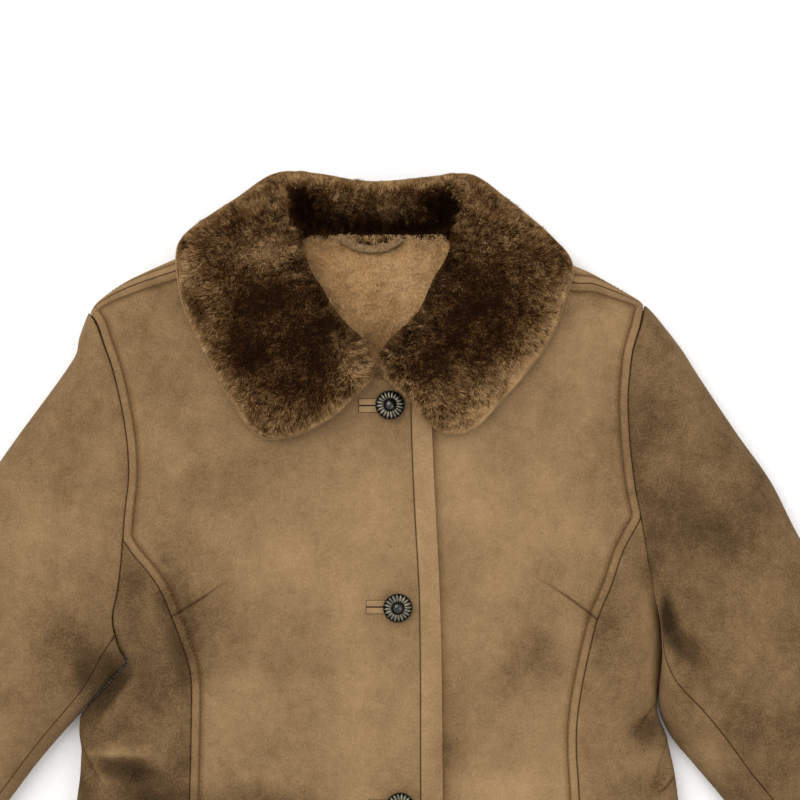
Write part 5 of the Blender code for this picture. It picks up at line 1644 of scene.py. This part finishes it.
class COAT_OT_buttonholes(bpy.types.Operator):
    """Makes the bound buttonholes, each with two lips and a dark slit"""
    bl_idname = "coat.buttonholes"
    bl_label = "Buttonholes"

    def execute(self, context):
        suede = suede_set(context.scene.coat_colours)[0]
        # The slits' dark plate is painted shade of the openings.
        slit = finish("shaded_suede", tape_finish, {"dark": "#1c120a", "plain": "#3a2918"})
        build_slits(slit)
        shift = (WELT["width"] + WELT["apart"]) / 2
        for number, *_ in BUTTONS.rows:
            build_lip(number, "upper", shift, suede)
            build_lip(number, "lower", -shift, suede)
        return {"FINISHED"}


class COAT_OT_buttons(bpy.types.Operator):
    """Casts the four daisy buttons"""
    bl_idname = "coat.buttons"
    bl_label = "Buttons"

    def execute(self, context):
        colours = context.scene.coat_colours
        metal = shades(colours, "pewter", "hollow", "plain", "ridge")
        finishes = [finish("aged_cast_pewter", pewter_finish, metal),
                    finish("black_enamel", enamel_finish, "#060505")]
        for number, *_ in BUTTONS.rows:
            build_button(number, finishes)
        return {"FINISHED"}


class COAT_OT_hanger(bpy.types.Operator):
    """Makes the hanger loop at the back of the neck"""
    bl_idname = "coat.hanger"
    bl_label = "Hanger loop"

    def execute(self, context):
        tape = finish("suede_strip", tape_finish, {"dark": "#5b452c", "plain": "#927552"})
        pale = finish("undyed_thread", thread_finish, linear("#c9ad82"))
        build_hanger(tape, pale)
        return {"FINISHED"}


class COAT_OT_stage(bpy.types.Operator):
    """Sets the white floor, the soft lights and the camera above the coat"""
    bl_idname = "coat.stage"
    bl_label = "Stage"

    def execute(self, context):
        scene = context.scene
        mesh = bmesh.new()
        bmesh.ops.create_grid(mesh, x_segments=8, y_segments=8, size=6.0)
        bmesh.ops.translate(mesh, vec=(0, 0, FRAME_BOX[0][2] - 0.0004), verts=mesh.verts)
        data = bpy.data.meshes.new("floor")
        mesh.to_mesh(data)
        mesh.free()
        data.materials.append(finish("white_paper", stage_finish, "#fbfbfb"))
        floor = bpy.data.objects.new("floor", data)
        scene.collection.objects.link(floor)
        world = bpy.data.worlds.new("soft_room")
        world.use_nodes = True
        room = world.node_tree.nodes["Background"]
        room.inputs["Color"].default_value, room.inputs["Strength"].default_value = (1, 1, 1, 1), ROOM_LIGHT
        scene.world = world
        for name, place_at, size, power in LIGHTS:
            light = bpy.data.lights.new(name, "AREA")
            light.energy, light.size = power, size or scene.coat_sizes.light_size
            lamp = bpy.data.objects.new(name, light)
            lamp.location = place_at
            lamp.rotation_euler = (Vector(LIT_PLACE) - lamp.location).to_track_quat("-Z", "Y").to_euler()
            scene.collection.objects.link(lamp)
        view = bpy.data.cameras.new("camera")
        view.lens, view.sensor_width = CAMERA["lens"], CAMERA["sensor"]
        camera = bpy.data.objects.new("camera", view)
        camera.location = CAMERA["place"]
        scene.collection.objects.link(camera)
        scene.camera = camera
        scene.view_settings.view_transform = "Standard"
        return {"FINISHED"}


class COAT_PT_panel(bpy.types.Panel):
    """Lists the coat's sizes, colours and pieces"""
    bl_idname = "COAT_PT_panel"
    bl_label = "Shearling Coat"
    bl_space_type = "VIEW_3D"
    bl_region_type = "UI"
    bl_category = "Coat"

    def draw(self, context):
        layout = self.layout
        for group in (context.scene.coat_sizes, context.scene.coat_colours):
            box = layout.box()
            for name in group.__annotations__:
                box.prop(group, name)
        for operator in OPERATORS:
            layout.operator(operator.bl_idname)


OPERATORS = (COAT_OT_stage, COAT_OT_back, COAT_OT_fronts, COAT_OT_sides, COAT_OT_sleeves,
             COAT_OT_topstitching, COAT_OT_cut_edges, COAT_OT_neck_wool, COAT_OT_collar, COAT_OT_buttonholes,
             COAT_OT_buttons, COAT_OT_hanger)
CLASSES = (CoatSizes, CoatColours, *OPERATORS, COAT_PT_panel)


def register():
    for cls in CLASSES:
        bpy.utils.register_class(cls)
    bpy.types.Scene.coat_sizes = PointerProperty(type=CoatSizes)
    bpy.types.Scene.coat_colours = PointerProperty(type=CoatColours)


def unregister():
    del bpy.types.Scene.coat_colours
    del bpy.types.Scene.coat_sizes
    for cls in reversed(CLASSES):
        bpy.utils.unregister_class(cls)


def main():
    register()
    for operator in OPERATORS:
        group, name = operator.bl_idname.split(".")
        getattr(getattr(bpy.ops, group), name)()


if __name__ == "__main__":
    main()
